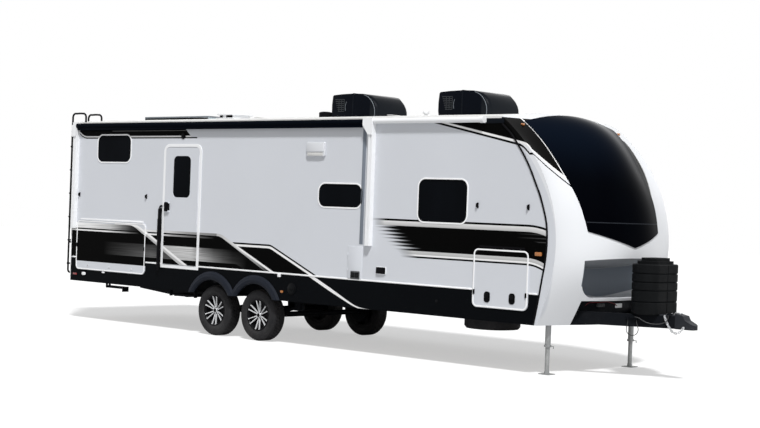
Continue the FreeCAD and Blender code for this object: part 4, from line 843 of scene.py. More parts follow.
def raw_block(x, y, z):
    bpy.ops.object.select_all(action="DESELECT")
    middle = [(a + b) / 2 for a, b in (x, y, z)]
    bpy.ops.mesh.primitive_cube_add(size=1.0, location=middle)
    piece = bpy.context.object
    piece.scale = [abs(b - a) for a, b in (x, y, z)]
    return settle(piece)


def block(x, y, z, edge=0.002):
    return ease(raw_block(x, y, z), edge)


def cornered(x, y, z, corner, axis="y"):
    """A block with its four long edges along an axis rounded to a corner radius."""
    piece = raw_block(x, y, z)
    choose(piece, "EDGE", lambda middle, way: abs(getattr(way, axis)) > 0.9)
    bpy.ops.mesh.bevel(offset=corner, segments=8, affect="EDGES")
    object_mode()
    return piece


def plate(x, y, z, corner, edge=0.002, axis="y"):
    return ease(cornered(x, y, z, corner, axis), edge)


def ring(x, y, z, corner, width, edge=0.0015, axis="y"):
    """A rounded frame: a plate whose two faces are inset and bridged through."""
    piece = cornered(x, y, z, corner, axis)
    choose(piece, "FACE", lambda middle, normal: abs(getattr(normal, axis)) > 0.9)
    bpy.ops.mesh.inset(thickness=width)
    bpy.ops.mesh.bridge_edge_loops()
    return ease(outward(piece), edge)


def rod(start, end, radius, edge=0.001, sides=24):
    start, end = Vector(start), Vector(end)
    way = end - start
    bpy.ops.object.select_all(action="DESELECT")
    bpy.ops.mesh.primitive_cylinder_add(vertices=sides, radius=radius, depth=way.length,
                                        location=(start + end) / 2,
                                        rotation=way.to_track_quat("Z", "Y").to_euler())
    piece = settle(bpy.context.object)
    return ease(piece, edge) if edge else piece


def drawn(points, closed=False):
    """A line of corners, each pulled out of the one before."""
    bpy.ops.object.select_all(action="DESELECT")
    bpy.ops.mesh.primitive_plane_add(size=0.01, location=points[0])
    piece = settle(bpy.context.object)
    bpy.context.tool_settings.mesh_select_mode = (True, False, False)
    choose_all(piece)
    bpy.ops.mesh.merge(type="CENTER")
    places = list(points) + ([points[0]] if closed else [])
    for before, place in zip(places, places[1:]):
        step = Vector(place) - Vector(before)
        bpy.ops.mesh.extrude_region_move(TRANSFORM_OT_translate={"value": step})
    if closed:
        bpy.ops.mesh.select_all(action="SELECT")
        bpy.ops.mesh.remove_doubles(threshold=0.00005)
    object_mode()
    return piece


def turned(profile, centre, steps):
    """A closed section of (radius, y) points, spun about a line across the trailer."""
    points = [(centre[0], y, centre[2] + radius) for radius, y in profile]
    piece = drawn(points, True)
    choose_all(piece)
    bpy.ops.mesh.spin(steps=steps, angle=math.tau, center=centre, axis=(0.0, 1.0, 0.0))
    return outward(piece)


def pulled(outline, low, high):
    """A closed outline of (x, z) points, filled and pulled across the trailer."""
    piece = drawn([(x, low, z) for x, z in outline], True)
    choose_all(piece)
    bpy.ops.mesh.edge_face_add()
    bpy.ops.mesh.extrude_region_move(TRANSFORM_OT_translate={"value": (0.0, high - low, 0.0)})
    return outward(piece)


def tube(name, kind, count, radius, roundness):
    """An empty round-bodied curve of one spline, and the spline."""
    data = bpy.data.curves.new(name, "CURVE")
    data.dimensions = "3D"
    data.bevel_depth = radius
    data.bevel_resolution = roundness
    data.use_fill_caps = True
    piece = bpy.data.objects.new(name, data)
    bpy.context.collection.objects.link(piece)
    spline = data.splines.new(kind)
    (spline.bezier_points if kind == "BEZIER" else spline.points).add(count - 1)
    return piece, spline


def bent(points, radius, roundness=4, closed=False):
    """A rod bent along points, as a mesh."""
    piece, spline = tube("bent", "BEZIER", len(points), radius, roundness)
    for entry, place in zip(spline.bezier_points, points):
        entry.co = place
        entry.handle_left_type = entry.handle_right_type = "AUTO"
    spline.use_cyclic_u = closed
    spline.resolution_u = 8
    piece.data.use_fill_caps = not closed
    only(piece)
    bpy.ops.object.convert(target="MESH")
    piece = outward(bpy.context.object)
    only(piece)
    bpy.ops.object.shade_smooth_by_angle(angle=SHARP)
    return piece


def twin(piece, shift=(0.0, 0.0, 0.0), flip=False):
    """A copy with its own mesh, moved, or turned over to the other side of the trailer."""
    only(piece)
    bpy.ops.object.duplicate(linked=False)
    copy = bpy.context.object
    copy.location = shift
    if flip:
        copy.scale = (1.0, -1.0, 1.0)
    settle(copy)
    if flip:
        choose_all(copy)
        bpy.ops.mesh.normals_make_consistent(inside=False)
        object_mode()
    return copy


def joined(pieces):
    """The pieces as one mesh, which keeps the first one's object."""
    only(pieces[0])
    for piece in pieces[1:]:
        piece.select_set(True)
    bpy.ops.object.join()
    return bpy.context.object


def fit(piece, name, material, body="trailer", replaced=None):
    """Names a piece, or a list of them joined, gives it its finish and lets it ride."""
    if isinstance(piece, list):
        piece = joined(piece)
    object_mode()
    piece.name = piece.data.name = name
    piece.data.materials.clear()
    piece.data.materials.append(material)
    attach(piece, body)
    if replaced:
        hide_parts(replaced)
    return piece


WALL_HALF = 1.22
SIDES = ((-1, "curb"), (1, "off"))
BAGGAGE_DOORS = ((-1, "baggage_door"), (1, "far_baggage_door"))


def at(metres):
    """A place along the trailer, from the rear wall forwards."""
    return rear + metres


def span(low, high):
    return at(low), at(high)


def about(middle, half):
    return middle - half, middle + half


def between(a, b):
    return min(a, b), max(a, b)


def out(depth, side=-1):
    """A place across, that far outside the side wall."""
    return side * (WALL_HALF + depth)


def layer(low, high, side=-1):
    """Two places across, outside the side wall."""
    return between(out(low, side), out(high, side))


def stud(x, z, low, high, radius, edge=0.001, sides=24, side=-1):
    """A rod that stands out of the side wall."""
    return rod((at(x), out(low, side), z), (at(x), out(high, side), z), radius, edge, sides)


# Leads, whose points are the routes of the source

# Places back from the coupler's tip, across and up, in millimetres
BRAKE_LEAD = ((746, -331, 700), (746, -331, 655), (761, -336, 608), (759, -338, 560), (726, -334, 524),
              (676, -322, 512), (631, -309, 534), (613, -298, 582), (634, -290, 630), (653, -287, 664),
              (653, -287, 700))
POWER_LEAD = ((666, -312, 738), (620, -312, 738), (572, -296, 706), (525, -268, 679), (469, -240, 667),
              (413, -212, 667), (368, -188, 675), (334, -170, 691), (311, -157, 717), (301, -150, 749),
              (301, -150, 782))
TIP = 10.631


def make_lead(name, node, route, diameter):
    """A hanging lead, whose controls are the route's points, in millimetres back from the coupler's tip."""
    piece, spline = tube(name, "NURBS", len(route), diameter / 2, 6)
    for entry, (back, y, z) in zip(spline.points, route):
        entry.co = (at(TIP - back / 1000), y / 1000, z / 1000, 1.0)
    spline.order_u = 3
    spline.use_endpoint_u = True
    spline.resolution_u = 10
    fit(piece, name, lead_black, replaced=node)


# Curb wall

# The rail over the joint of wall and skirt: its heights, and its runs along each side
BELT_BAND = (0.962, 0.985)
BELT_RUNS = {
    "curb": ((0.045, 0.140), (1.865, 2.220), (3.080, 8.205), (9.065, 9.190)),
    "off": ((0.045, 4.900), (7.100, 8.205), (9.065, 9.190)),
}


def make_belts():
    """The slim white rail over the joint of wall and skirt, with breaks at the doors."""
    for side, label in SIDES:
        rails = []
        for low, high in BELT_RUNS[label]:
            rails.append(block(span(low, high), layer(0.0003, 0.007, side), BELT_BAND, 0.0025))
            rails.append(block(span(low, high), layer(0.0003, 0.010, side), (0.969, 0.975), 0.0012))
        fit(rails, "belt_rail_" + label, bright_trim)


def make_corner_strips():
    """The rounded corner mouldings at the rear, and the moulded ends of the roof's edge above them."""
    for side, label in SIDES:
        strip = block(span(-0.004, 0.088), layer(0.0003, 0.010, side), (1.440, 3.030), 0.005)
        lip = block(span(-0.004, 0.006), layer(0.0003, 0.012, side), (0.62, 3.030), 0.002)
        fit([strip, lip], "corner_strip_" + label, bright_trim)
        across = between(side * 1.120, out(0.022, side))
        end = plate(span(-0.082, 0.062), across, (2.862, 3.052), 0.030, 0.010)
        fit(end, "roof_corner_" + label, bright_trim)


# The joint of wall and cap: places along and up
SEAM = ((9.149, 0.602), (9.205, 0.88), (9.253, 1.159), (9.292, 1.38), (9.305, 1.596), (9.290, 1.80),
        (9.238, 1.985), (9.180, 2.135), (9.111, 2.277), (8.975, 2.53), (8.806, 2.763), (8.690, 2.895),
        (8.575, 2.99))


def make_gaskets():
    """The black bead that follows the joint between the wall and the front cap."""
    for side, label in SIDES:
        points = [(at(x), out(0.0005, side), z) for x, z in SEAM]
        fit(bent(points, 0.012), "cap_gasket_" + label, seal_black)


def make_door_rims():
    """The bright rounded rims of the storage doors."""
    store = ring(span(0.149, 1.856), layer(0.0118, 0.0165), (0.789, 1.552), 0.070, 0.018)
    fit(store, "store_rim", bright_trim, "store_door")
    for side, body in BAGGAGE_DOORS:
        rim = ring(span(8.214, 9.056), layer(0.0118, 0.0170, side), (0.764, 1.475), 0.070, 0.020)
        fit(rim, body.replace("door", "rim"), bright_trim, body)


def latch(x, z, side=-1):
    """A paddle latch: an oval dish with a lever across it."""
    dish = plate(about(at(x), 0.046), layer(0.0118, 0.019, side), about(z, 0.066), 0.038)
    choose(dish, "FACE", lambda middle, normal: side * normal.y > 0.9 and abs(middle.z - z) < 0.02)
    bpy.ops.mesh.inset(thickness=0.009)
    bpy.ops.transform.translate(value=(0.0, -side * 0.004, 0.0))
    object_mode()
    lever = plate(about(at(x), 0.028), layer(0.015, 0.027, side), (z - 0.014, z + 0.046), 0.013)
    key = stud(x, z - 0.036, 0.015, 0.022, 0.010, side=side)
    return joined([dish, lever, key])


def make_latches():
    for side, body in BAGGAGE_DOORS:
        first = latch(8.444, 0.892, side)
        second = twin(first, (8.826 - 8.444, 0.0, 0.0))
        stops = [plate(about(at(x), 0.012), layer(0.0118, 0.024, side), (0.915, 0.975), 0.008)
                 for x in (8.236, 9.034)]
        fit([first, second] + stops, body.replace("door", "latches"), seal_black, body)
    locks = []
    for x in (0.46, 1.0, 1.55):
        locks += [stud(x, 0.850, 0.0118, 0.020, 0.016), stud(x, 0.850, 0.019, 0.024, 0.010)]
    fit(locks, "store_locks", bright_steel, "store_door")
    holds = [plate(about(at(x), 0.011), layer(0.0118, 0.024), (1.14, 1.20), 0.008) for x in (0.170, 1.835)]
    fit(holds, "store_holds", seal_black, "store_door")


def make_wall_boxes(node):
    """The porch lamp, the access panel with its vent, and the outlet's cover."""
    lamp = plate(span(5.249, 5.594), layer(0.0, 0.030), (2.580, 2.776), 0.022, 0.006)
    hood = plate(span(5.262, 5.581), layer(0.028, 0.045), (2.640, 2.764), 0.016, 0.007)
    fit([lamp, hood], "porch_lamp", plain_white, replaced=node)
    lens = plate(span(5.275, 5.568), layer(0.028, 0.040), (2.590, 2.634), 0.010, 0.004)
    fit(lens, "porch_lens", lens_clear)
    panel = plate(span(6.065, 6.338), layer(0.0, 0.004), (0.966, 1.414), 0.016, 0.001)
    lid = plate(span(6.075, 6.328), layer(0.003, 0.007), (0.976, 1.404), 0.012, 0.001)
    hinges = [rod((at(6.071), out(0.007), z - 0.018), (at(6.071), out(0.007), z + 0.018), 0.004)
              for z in (1.10, 1.30)]
    fit([panel, lid] + hinges, "access_panel", wall_white, replaced=node)
    vent = plate(span(6.136, 6.300), layer(0.006, 0.014), (0.978, 1.082), 0.010)
    fit(vent, "panel_vent", vent_grey)
    mouths = []
    for low in (6.146, 6.222):
        mouths.append(ring(span(low, low + 0.066), layer(0.013, 0.018), (1.000, 1.064), 0.006, 0.006))
        mouths += [block(span(low + 0.004, low + 0.062), layer(0.013, 0.016), (z, z + 0.010), 0.001)
                   for z in (1.008, 1.022, 1.036, 1.050)]
    fit(mouths, "panel_mouths", seal_black)
    rim = ring(span(6.592, 6.761), layer(0.0, 0.010), (1.066, 1.164), 0.012, 0.010)
    fit(rim, "outlet_rim", trim_white, replaced=node)
    cover = plate(span(6.600, 6.753), layer(0.0, 0.024), (1.074, 1.156), 0.010, 0.004)
    flap = plate(span(6.610, 6.743), layer(0.020, 0.030), (1.082, 1.136), 0.008, 0.003)
    fit([cover, flap], "outlet_cover", seal_black, replaced=node)


def make_skirt_hatch(node):
    """A round hatch with its bar, and a small port, on the skirt."""
    x, z = 5.035, 0.773
    hatch = stud(x, z, -0.001, 0.010, 0.082, 0.003, 48)
    cap = stud(x, z, 0.009, 0.020, 0.066, 0.005, 48)
    bar = plate(about(at(x), 0.040), layer(0.019, 0.028), (0.764, 0.782), 0.007)
    port = stud(7.640, 0.782, -0.001, 0.006, 0.026, 0.002, 32)
    plug = stud(7.640, 0.782, 0.005, 0.012, 0.015, 0.003, 32)
    fit([hatch, cap, bar, port, plug], "skirt_hatch", hatch_black, replaced=node)


def make_grab_handle(node):
    """The upright grip with its sleeve and feet beside the entry door, hooked over at its top."""
    grip = plate(span(2.187, 2.221), layer(0.012, 0.060), (0.905, 1.790), 0.014, 0.004)
    sleeve = plate(span(2.183, 2.223), layer(0.009, 0.064), (1.350, 1.640), 0.015, 0.004)
    bow = ((2.204, 0.036, 1.760), (2.206, 0.040, 1.806), (2.214, 0.034, 1.826), (2.218, 0.012, 1.830),
           (2.218, 0.0, 1.830))
    hook = bent([(at(x), out(depth), z) for x, depth, z in bow], 0.013)
    feet = [plate(span(2.180, 2.222), layer(0.0, 0.013), about(z, 0.030), 0.008, 0.003)
            for z in (0.930, 1.770)]
    tail = rod((at(2.204), out(0.030), 0.915), (at(2.214), out(0.050), 0.872), 0.012, 0.003)
    fit([grip, sleeve, hook, tail] + feet, "grab_handle", seal_black, replaced=node)


def make_fittings():
    """What is fixed to the curb wall and skirt, in place of the plain fittings of the frame."""
    node = "wall_fittings"
    make_wall_boxes(node)
    make_skirt_hatch(node)
    make_grab_handle(node)
    catches = []
    for x, z in ((0.177, 1.957), (1.836, 1.959), (8.238, 1.999), (9.018, 1.996)):
        catches.append(plate(about(at(x), 0.014), layer(0.0, 0.006), about(z, 0.034), 0.006))
        catches.append(plate(about(at(x), 0.010), layer(0.005, 0.030), (z - 0.022, z + 0.026), 0.006))
    fit(catches, "door_catches", seal_black, replaced=node)
    amber = [plate(span(9.141, 9.241), layer(0.0, 0.014), (1.424, 1.470), 0.010, 0.004),
             plate(span(4.815, 4.868), layer(0.0, 0.012), (0.708, 0.742), 0.016, 0.004)]
    fit(amber, "side_markers", lens_amber, replaced=node)
    leaf = block(span(0.220, 1.785), layer(0.0, 0.0050), (1.5646, 1.5882), 0.001)
    fit(leaf, "store_hinge", bright_trim, replaced=node)
    leaves = [block(span(8.285, 8.985), layer(0.0, 0.0050, side), (1.4876, 1.5112), 0.001)
              for side in (-1, 1)]
    fit(leaves, "baggage_hinges", seal_black, replaced=node)
    red = plate(span(0.075, 0.172), layer(0.0, 0.012), (0.692, 0.722), 0.008, 0.004)
    fit(red, "tail_marker", lens_red)
    bits = [plate(about(at(x), half), layer(0.0, 0.016), about(z, rise), corner, 0.004)
            for x, z, half, rise, corner in ((0.354, 0.722, 0.044, 0.024, 0.020),
                                             (0.851, 0.766, 0.030, 0.011, 0.006),
                                             (4.780, 0.945, 0.028, 0.024, 0.006))]
    fit(bits, "skirt_bits", trim_white)
    eye = stud(2.645, 2.868, 0.0, 0.012, 0.046, 0.004, 40)
    pupil = stud(2.645, 2.868, 0.011, 0.018, 0.024, 0.004, 32)
    fit([eye, pupil], "awning_eye", seal_black)


def make_entry_handle():
    """The entry door's lever and lock on a dark plate."""
    face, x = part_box("entry_door")[0][1], at(2.345)
    back = plate(about(x, 0.046), (face - 0.003, face + 0.034), (1.750, 1.890), 0.024, 0.004)
    lever = plate((x - 0.034, x + 0.030), (face - 0.016, face - 0.001), (1.812, 1.868), 0.012, 0.004)
    key = rod((x, face - 0.001, 1.770), (x, face - 0.009, 1.770), 0.014)
    fit([back, lever, key], "entry_handle", seal_black, "entry_door")


# Panes by their low and high places along and up, the radius of their corners, and their sides
PANES = ((0.612, 1.420, 2.475, 2.880, 0.105, (-1, 1)), (5.490, 6.280, 1.914, 2.218, 0.110, (-1,)),
         (7.272, 8.065, 1.772, 2.306, 0.100, (-1, 1)))


def make_windows():
    """Slim white frames with well rounded corners, and the dark beads that hold the panes in them."""
    edge, frames, beads = 0.020, [], []
    for side in (-1, 1):
        for x0, x1, z0, z1, corner, sides in PANES:
            if side not in sides:
                continue
            frames.append(ring(span(x0 - edge, x1 + edge), layer(0.0, 0.006, side), (z0 - edge, z1 + edge),
                               corner + edge, edge))
            beads.append(ring(span(x0 - 0.001, x1 + 0.001), layer(-0.006, 0.0035, side),
                              (z0 - 0.001, z1 + 0.001), corner, 0.012))
    fit(frames, "window_frames", bright_trim, replaced="window_rims")
    fit(beads, "window_beads", seal_black)


# Wheels

# Middle of the curb wheels, across and up, and the steps of a tyre's turn, three to a pair of blocks
WHEEL_Y, WHEEL_Z, TREAD_STEPS = -1.055, 0.3595, 144

# Half sections of a tyre as (radius, place across): the side from the bead out, and the ribs
TYRE_SIDE = ((0.2033, 0.085), (0.214, 0.093), (0.223, 0.0955), (0.2255, 0.0935), (0.228, 0.0965),
             (0.250, 0.1065), (0.268, 0.1105), (0.286, 0.1110), (0.2885, 0.1090), (0.2915, 0.1102),
             (0.312, 0.1075), (0.3135, 0.1055), (0.3165, 0.1065), (0.334, 0.1035), (0.344, 0.0960),
             (0.350, 0.0850), (0.3525, 0.0740))
TYRE_RIBS = ((0.3530, 0.0500), (0.3480, 0.0490), (0.3480, 0.0450), (0.3530, 0.0440), (0.3530, 0.0180),
             (0.3480, 0.0170), (0.3480, 0.0130), (0.3530, 0.0120))


def make_tyre(x):
    """A tyre with bead, sidewall rings and a tread of offset blocks."""
    y, z = WHEEL_Y, WHEEL_Z
    half = TYRE_SIDE + TYRE_RIBS
    section = [(r, y - w) for r, w in half] + [(r, y + w) for r, w in reversed(half)]
    tyre = turned(section, (x, y, z), TREAD_STEPS)
    step = math.tau / TREAD_STEPS

    def block_face(middle, normal):
        radius = math.hypot(middle.x - x, middle.z - z)
        rib = round((middle.y - y) / 0.031)
        turn = math.floor(math.atan2(middle.z - z, middle.x - x) / step + 0.02)
        on_tread = radius > 0.3515 and abs(middle.y - y) < 0.075 and abs(normal.y) < 0.3
        return on_tread and (turn + rib) % 3 != 0

    choose(tyre, "FACE", block_face)
    bpy.ops.mesh.extrude_region_shrink_fatten(TRANSFORM_OT_shrink_fatten={"value": 0.006})
    object_mode()
    only(tyre)
    bpy.ops.object.shade_smooth_by_angle(angle=math.radians(28))
    return tyre


def spin_copies(piece, centre, count):
    """Copies a piece round a line across the trailer."""
    copies = [piece]
    for i in range(1, count):
        copy = twin(piece)
        choose_all(copy)
        bpy.ops.transform.rotate(value=math.tau * i / count, orient_axis="Y", center_override=centre)
        object_mode()
        copies.append(copy)
    return joined(copies)


def spoke(x, y, z, lean):
    """One slim spoke of a pair, with the small bulb by which it meets the barrel's lip."""
    piece = raw_block(about(x, 0.0060), (y, y + 0.020), (z + 0.046, z + 0.186))
    choose(piece, "FACE", lambda middle, normal: normal.z > 0.9)
    bpy.ops.transform.translate(value=(lean * 0.036, -0.024, 0.0))
    for step, width in ((0.007, 1.80), (0.008, 1.15), (0.006, 0.50)):
        move = (lean * step * 0.25, -0.0005, step)
        bpy.ops.mesh.extrude_region_move(TRANSFORM_OT_translate={"value": move})
        bpy.ops.transform.resize(value=(width, 1.0, 1.0))
    object_mode()
    choose(piece, "FACE", lambda middle, normal: normal.z < -0.9)
    bpy.ops.transform.translate(value=(lean * 0.010, 0.004, 0.0))
    object_mode()
    return ease(piece, 0.0015)


def make_rim(x):
    """A black barrel with six pairs of machined spokes, a hub with its nuts and a centre cap."""
    y, z = WHEEL_Y, WHEEL_Z
    face = y - 0.085
    centre = (x, y, z)

    def turned_rim(profile, steps):
        """A section of (radius, place behind the rim's face), turned about the axle."""
        return turned([(radius, face + depth) for radius, depth in profile], centre, steps)

    barrel = turned_rim(((0.2030, -0.0075), (0.2030, 0.170), (0.1930, 0.170), (0.1880, 0.135),
                         (0.1840, 0.040), (0.1880, 0.016), (0.1920, -0.0020), (0.2010, -0.0125),
                         (0.2110, -0.0145), (0.2165, -0.0135), (0.2165, -0.0100), (0.2100, -0.0092)), 96)
    floor = turned_rim(((0.1860, 0.060), (0.1860, 0.070), (0.022, 0.070), (0.022, 0.050), (0.060, 0.046),
                        (0.120, 0.056)), 64)
    hub = turned_rim(((0.0600, 0.030), (0.0600, 0.100), (0.0220, 0.100), (0.0220, 0.022),
                      (0.0500, 0.022)), 48)
    dark = joined([barrel, floor, hub])
    only(dark)
    bpy.ops.object.shade_smooth_by_angle(angle=SHARP)
    pairs = joined([spoke(x, face + 0.012, z, -1), spoke(x, face + 0.012, z, 1)])
    spokes = spin_copies(pairs, centre, 6)
    band = turned_rim(((0.0370, 0.024), (0.0370, 0.006), (0.0340, 0.001), (0.0290, 0.001),
                       (0.0290, 0.024)), 48)
    cap = rod((x, face + 0.024, z), (x, face - 0.002, z), 0.028, 0.004, 36)
    nut = rod((x, face + 0.024, z + 0.048), (x, face + 0.008, z + 0.048), 0.0085, 0.0015, 6)
    nuts = spin_copies(nut, centre, 6)
    return dark, joined([spokes, band, nuts]), cap


def make_wheels():
    for end in ("rear", "front"):
        low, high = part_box("tyre_" + end + "_curb")
        x = (low[0] + high[0]) / 2
        wheel = (make_tyre(x), *make_rim(x))
        for label in ("off", "curb"):
            parts = [twin(piece, flip=True) for piece in wheel] if label == "off" else wheel
            tag = "_" + end + "_" + label
            body = "wheel" + tag
            fit(parts[0], "wheel_tyre" + tag, tyre_rubber, body, "tyre" + tag)
            fit(parts[1], "wheel_barrel" + tag, rim_metal, body, "rim" + tag)
            fit(parts[2], "wheel_spokes" + tag, machined, body)
            fit(parts[3], "wheel_cap" + tag, rim_metal, body)


# Roof

# Outline of a cooler's flank: places forward of its rear end and above its foot
COOLER_FLANK = ((0.014, 0.0), (0.004, 0.060), (0.004, 0.180), (0.018, 0.298), (0.036, 0.314),
                (0.200, 0.325), (0.420, 0.330), (0.600, 0.322), (0.670, 0.308), (0.728, 0.287),
                (0.780, 0.253), (0.822, 0.210), (0.856, 0.156), (0.873, 0.108), (0.878, 0.050), (0.872, 0.0))


def make_cooler(node):
    """A moulded rooftop cooler: shell, rib, flank louvres, pale rods along the nose's edges as painted
    highlights, and a tail grille.
    """
    low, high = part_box(node)
    back, foot, half = low[0], low[2], high[1] - 0.018

    def place(x, z, y=0.0):
        return back + x, y, foot + z

    shell = pulled([(back + x, foot + z) for x, z in COOLER_FLANK], -half, half)
    choose(shell, "EDGE", lambda middle, way: abs(middle.y) > half - 0.001 and middle.x > back + 0.72
           and abs(way.y) < 0.1)
    bpy.ops.mesh.bevel(offset=0.070, segments=6, affect="EDGES")
    object_mode()
    ease(outward(shell), 0.008, 3)
    fit(shell, node + "_shell", cooler_shell, replaced=node)
    rib = plate((back + 0.405, back + 0.430), about(0.0, half + 0.004), (foot, foot + 0.334),
                0.010, 0.003, "x")
    seam = plate((back + 0.150, back + 0.156), about(0.0, half + 0.002), (foot, foot + 0.3215),
                 0.010, 0.001, "x")
    fit([rib, seam], node + "_rib", cooler_black)
    edges, louvres = [], []
    for side in (-1, 1):
        y = side * (half - 0.002)
        # Painted highlights: pale grey rods along the nose's corner edges
        edges.append(bent([place(x - 0.046, z - 0.003, y) for x, z in COOLER_FLANK[8:16]], 0.0050))
        # A pale curved line on the flank, also a painted highlight
        grip = ((0.288, 0.215), (0.272, 0.180), (0.268, 0.140), (0.276, 0.090))
        edges.append(bent([place(x, z, y) for x, z in grip], 0.0040))
        across = between(y, side * (half + 0.005))
        louvres += [block((back + 0.070 + 0.010 * i, back + 0.255), across,
                          (foot + 0.245 - 0.028 * i, foot + 0.255 - 0.028 * i), 0.0015) for i in range(7)]
        louvres += [block((back + x, back + x + 0.008), across, (foot + 0.077, foot + 0.255), 0.0015)
                    for x in (0.140, 0.192, 0.247)]
    fit(edges, node + "_edges", edge_grey)
    slope = 0.077 / 0.267
    bars = [rod(place(-0.001, 0.055, y), place(0.062, 0.285, y), 0.005, 0.001, 12)
            for y in (-0.24, -0.18, -0.12, -0.06, 0.0, 0.06, 0.12, 0.18, 0.24)]
    bars += [rod(place(slope * (z - 0.05), z, -0.25), place(slope * (z - 0.05), z, 0.25), 0.005, 0.001, 12)
             for z in (0.09, 0.17, 0.25)]
    fit(louvres + bars, node + "_grille", louvre_grey)


def make_roof_fittings():
    """A low lidded vent on its collar, a dark dome and a small knob, in place of the plain ones."""
    node = "roof_vent"
    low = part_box(node)[0][2]
    flange = plate(span(2.565, 2.995), (-0.565, -0.135), (low, low + 0.014), 0.03, 0.003, "z")
    lid = plate(span(2.580, 2.980), (-0.550, -0.150), (low + 0.054, low + 0.078), 0.04, 0.008, "z")
    ribs = [plate(span(x, x + 0.030), (-0.520, -0.180), (low + 0.072, low + 0.086), 0.010, 0.004, "z")
            for x in (2.63, 2.72, 2.81, 2.90)]
    fit([flange, lid] + ribs, "vent_lid", trim_white, replaced=node)
    collar = plate(span(2.610, 2.950), (-0.520, -0.180), (low + 0.010, low + 0.058), 0.03, 0.002, "z")
    fit(collar, "vent_collar", trim_white, replaced=node)
    stays = [block(span(x, x + w), (-0.532, -0.515), (low + 0.016, low + 0.052), 0.003)
             for x, w in ((2.640, 0.060), (2.780, 0.130))]
    fit(stays, "vent_stays", seal_black)
    dome = rod((at(4.571), -0.22, low), (at(4.571), -0.22, low + 0.084), 0.100, 0, 48)
    choose(dome, "FACE", lambda middle, normal: normal.z > 0.9)
    for inset, rise in ((0.018, 0.010), (0.030, 0.006), (0.030, 0.002)):
        bpy.ops.mesh.inset(thickness=inset)
        bpy.ops.transform.translate(value=(0.0, 0.0, rise))
    object_mode()
    fit(ease(dome, 0.003), "roof_dome", seal_black, replaced=node)
    stem = rod((at(6.274), 0.0, low), (at(6.274), 0.0, low + 0.075), 0.022, 0.002, 32)
    knob = rod((at(6.274), 0.0, low + 0.062), (at(6.274), 0.0, low + 0.104), 0.044, 0.012, 40)
    fit([stem, knob], "roof_knob", trim_white, replaced=node)


def make_roof_trim():
    """Edge rails, sealed joints, and the frame and bars of the panel."""
    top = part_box("roof")[1][2]
    for side, label in SIDES:
        rail = block(span(0.0, 8.28), layer(0.0003, 0.012, side), (3.012, 3.040), 0.003)
        gutter = block(span(0.0, 8.28), layer(0.010, 0.018, side), (3.020, 3.048), 0.002)
        fit([rail, gutter], "roof_rail_" + label, trim_white)
        dark = block(span(8.28, 8.60), layer(0.0003, 0.006, side), (3.000, 3.062), 0.003)
        fit(dark, "roof_edge_" + label, cooler_black)
    low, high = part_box("roof_panel")
    edge = 0.004
    rim = ring((low[0] - edge, high[0] + edge), (low[1] - edge, high[1] + edge),
               (high[2] - 0.018, high[2] + 0.004), 0.02, 0.03, 0.002, "z")
    fit(rim, "panel_frame", edge_grey)
    bars = [block(about(low[0] + share * (high[0] - low[0]), 0.006), (low[1] + 0.02, high[1] - 0.02),
                  about(high[2], 0.002), 0.001) for share in (0.25, 0.5, 0.75)]
    fit(bars, "panel_bars", edge_grey)
    seals = [plate(about(at(x), 0.05), (-0.5, 0.5), about(top, 0.004), 0.02, 0.002, "z")
             for x in (3.4, 6.05)]
    fit(seals, "roof_seals", roof_white)


# Front


def make_front_gear():
    """Corner lamps on the cap, and the coupler's lever with its pivot and bolts."""
    lamps = []
    for side in (-1, 1):
        bpy.ops.object.select_all(action="DESELECT")
        bpy.ops.mesh.primitive_uv_sphere_add(segments=24, ring_count=12, radius=0.022,
                                             location=(at(8.726), side * 1.022, 2.995))
        dome = bpy.context.object
        dome.scale = (1.6, 1.0, 0.8)
        lamps.append(settle(dome))
    lamps = joined(lamps)
    only(lamps)
    bpy.ops.object.shade_smooth()
    fit(lamps, "cap_lamps", lens_amber)
    tip, _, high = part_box("coupler")[1]
    lever = block((tip - 0.30, tip - 0.20), (-0.012, 0.012), (high - 0.002, high + 0.012), 0.004)
    pivot = rod((tip - 0.225, -0.020, high - 0.002), (tip - 0.225, 0.020, high - 0.002), 0.009)
    bolts = [rod((tip - x, y, 0.78), (tip - x, y, 0.790), 0.010, 0.0015, 6)
             for x in (0.30, 0.34, 0.38) for y in (-0.055, 0.055)]
    fit([lever, pivot] + bolts, "coupler_lever", bright_steel)


def valance_face(y):
    """Place along the trailer of the valance's bowed front, at a place across."""
    low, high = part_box("valance")
    return low[0] + (high[0] - low[0]) * (1 - (y / high[1]) ** 2)


def make_valance_gear():
    """On the valance: a blank plate, a socket and a clipped wire."""
    face = valance_face(0.15)
    sheet = plate((face - 0.012, face + 0.010), (0.078, 0.226), (0.798, 0.850), 0.006, 0.002, "x")
    fit(sheet, "valance_sheet", bright_trim)
    face = valance_face(0.22)
    box = plate((face - 0.010, face + 0.022), (-0.290, -0.156), (0.816, 0.858), 0.008, 0.003, "x")
    pins = [rod((face + 0.020, y, 0.837), (face + 0.030, y, 0.837), 0.012, 0.002)
            for y in (-0.262, -0.223, -0.184)]
    fit([box] + pins, "valance_socket", vent_grey)
    run = ((-0.518, 0.791), (-0.470, 0.835), (-0.422, 0.866), (-0.330, 0.871), (-0.224, 0.872),
           (-0.115, 0.878), (0.009, 0.858), (0.075, 0.840), (0.112, 0.822))
    wire = bent([(valance_face(y) + 0.005, y, z) for y, z in run], 0.0055)
    fit(wire, "valance_wire", wire_red)


# Rear


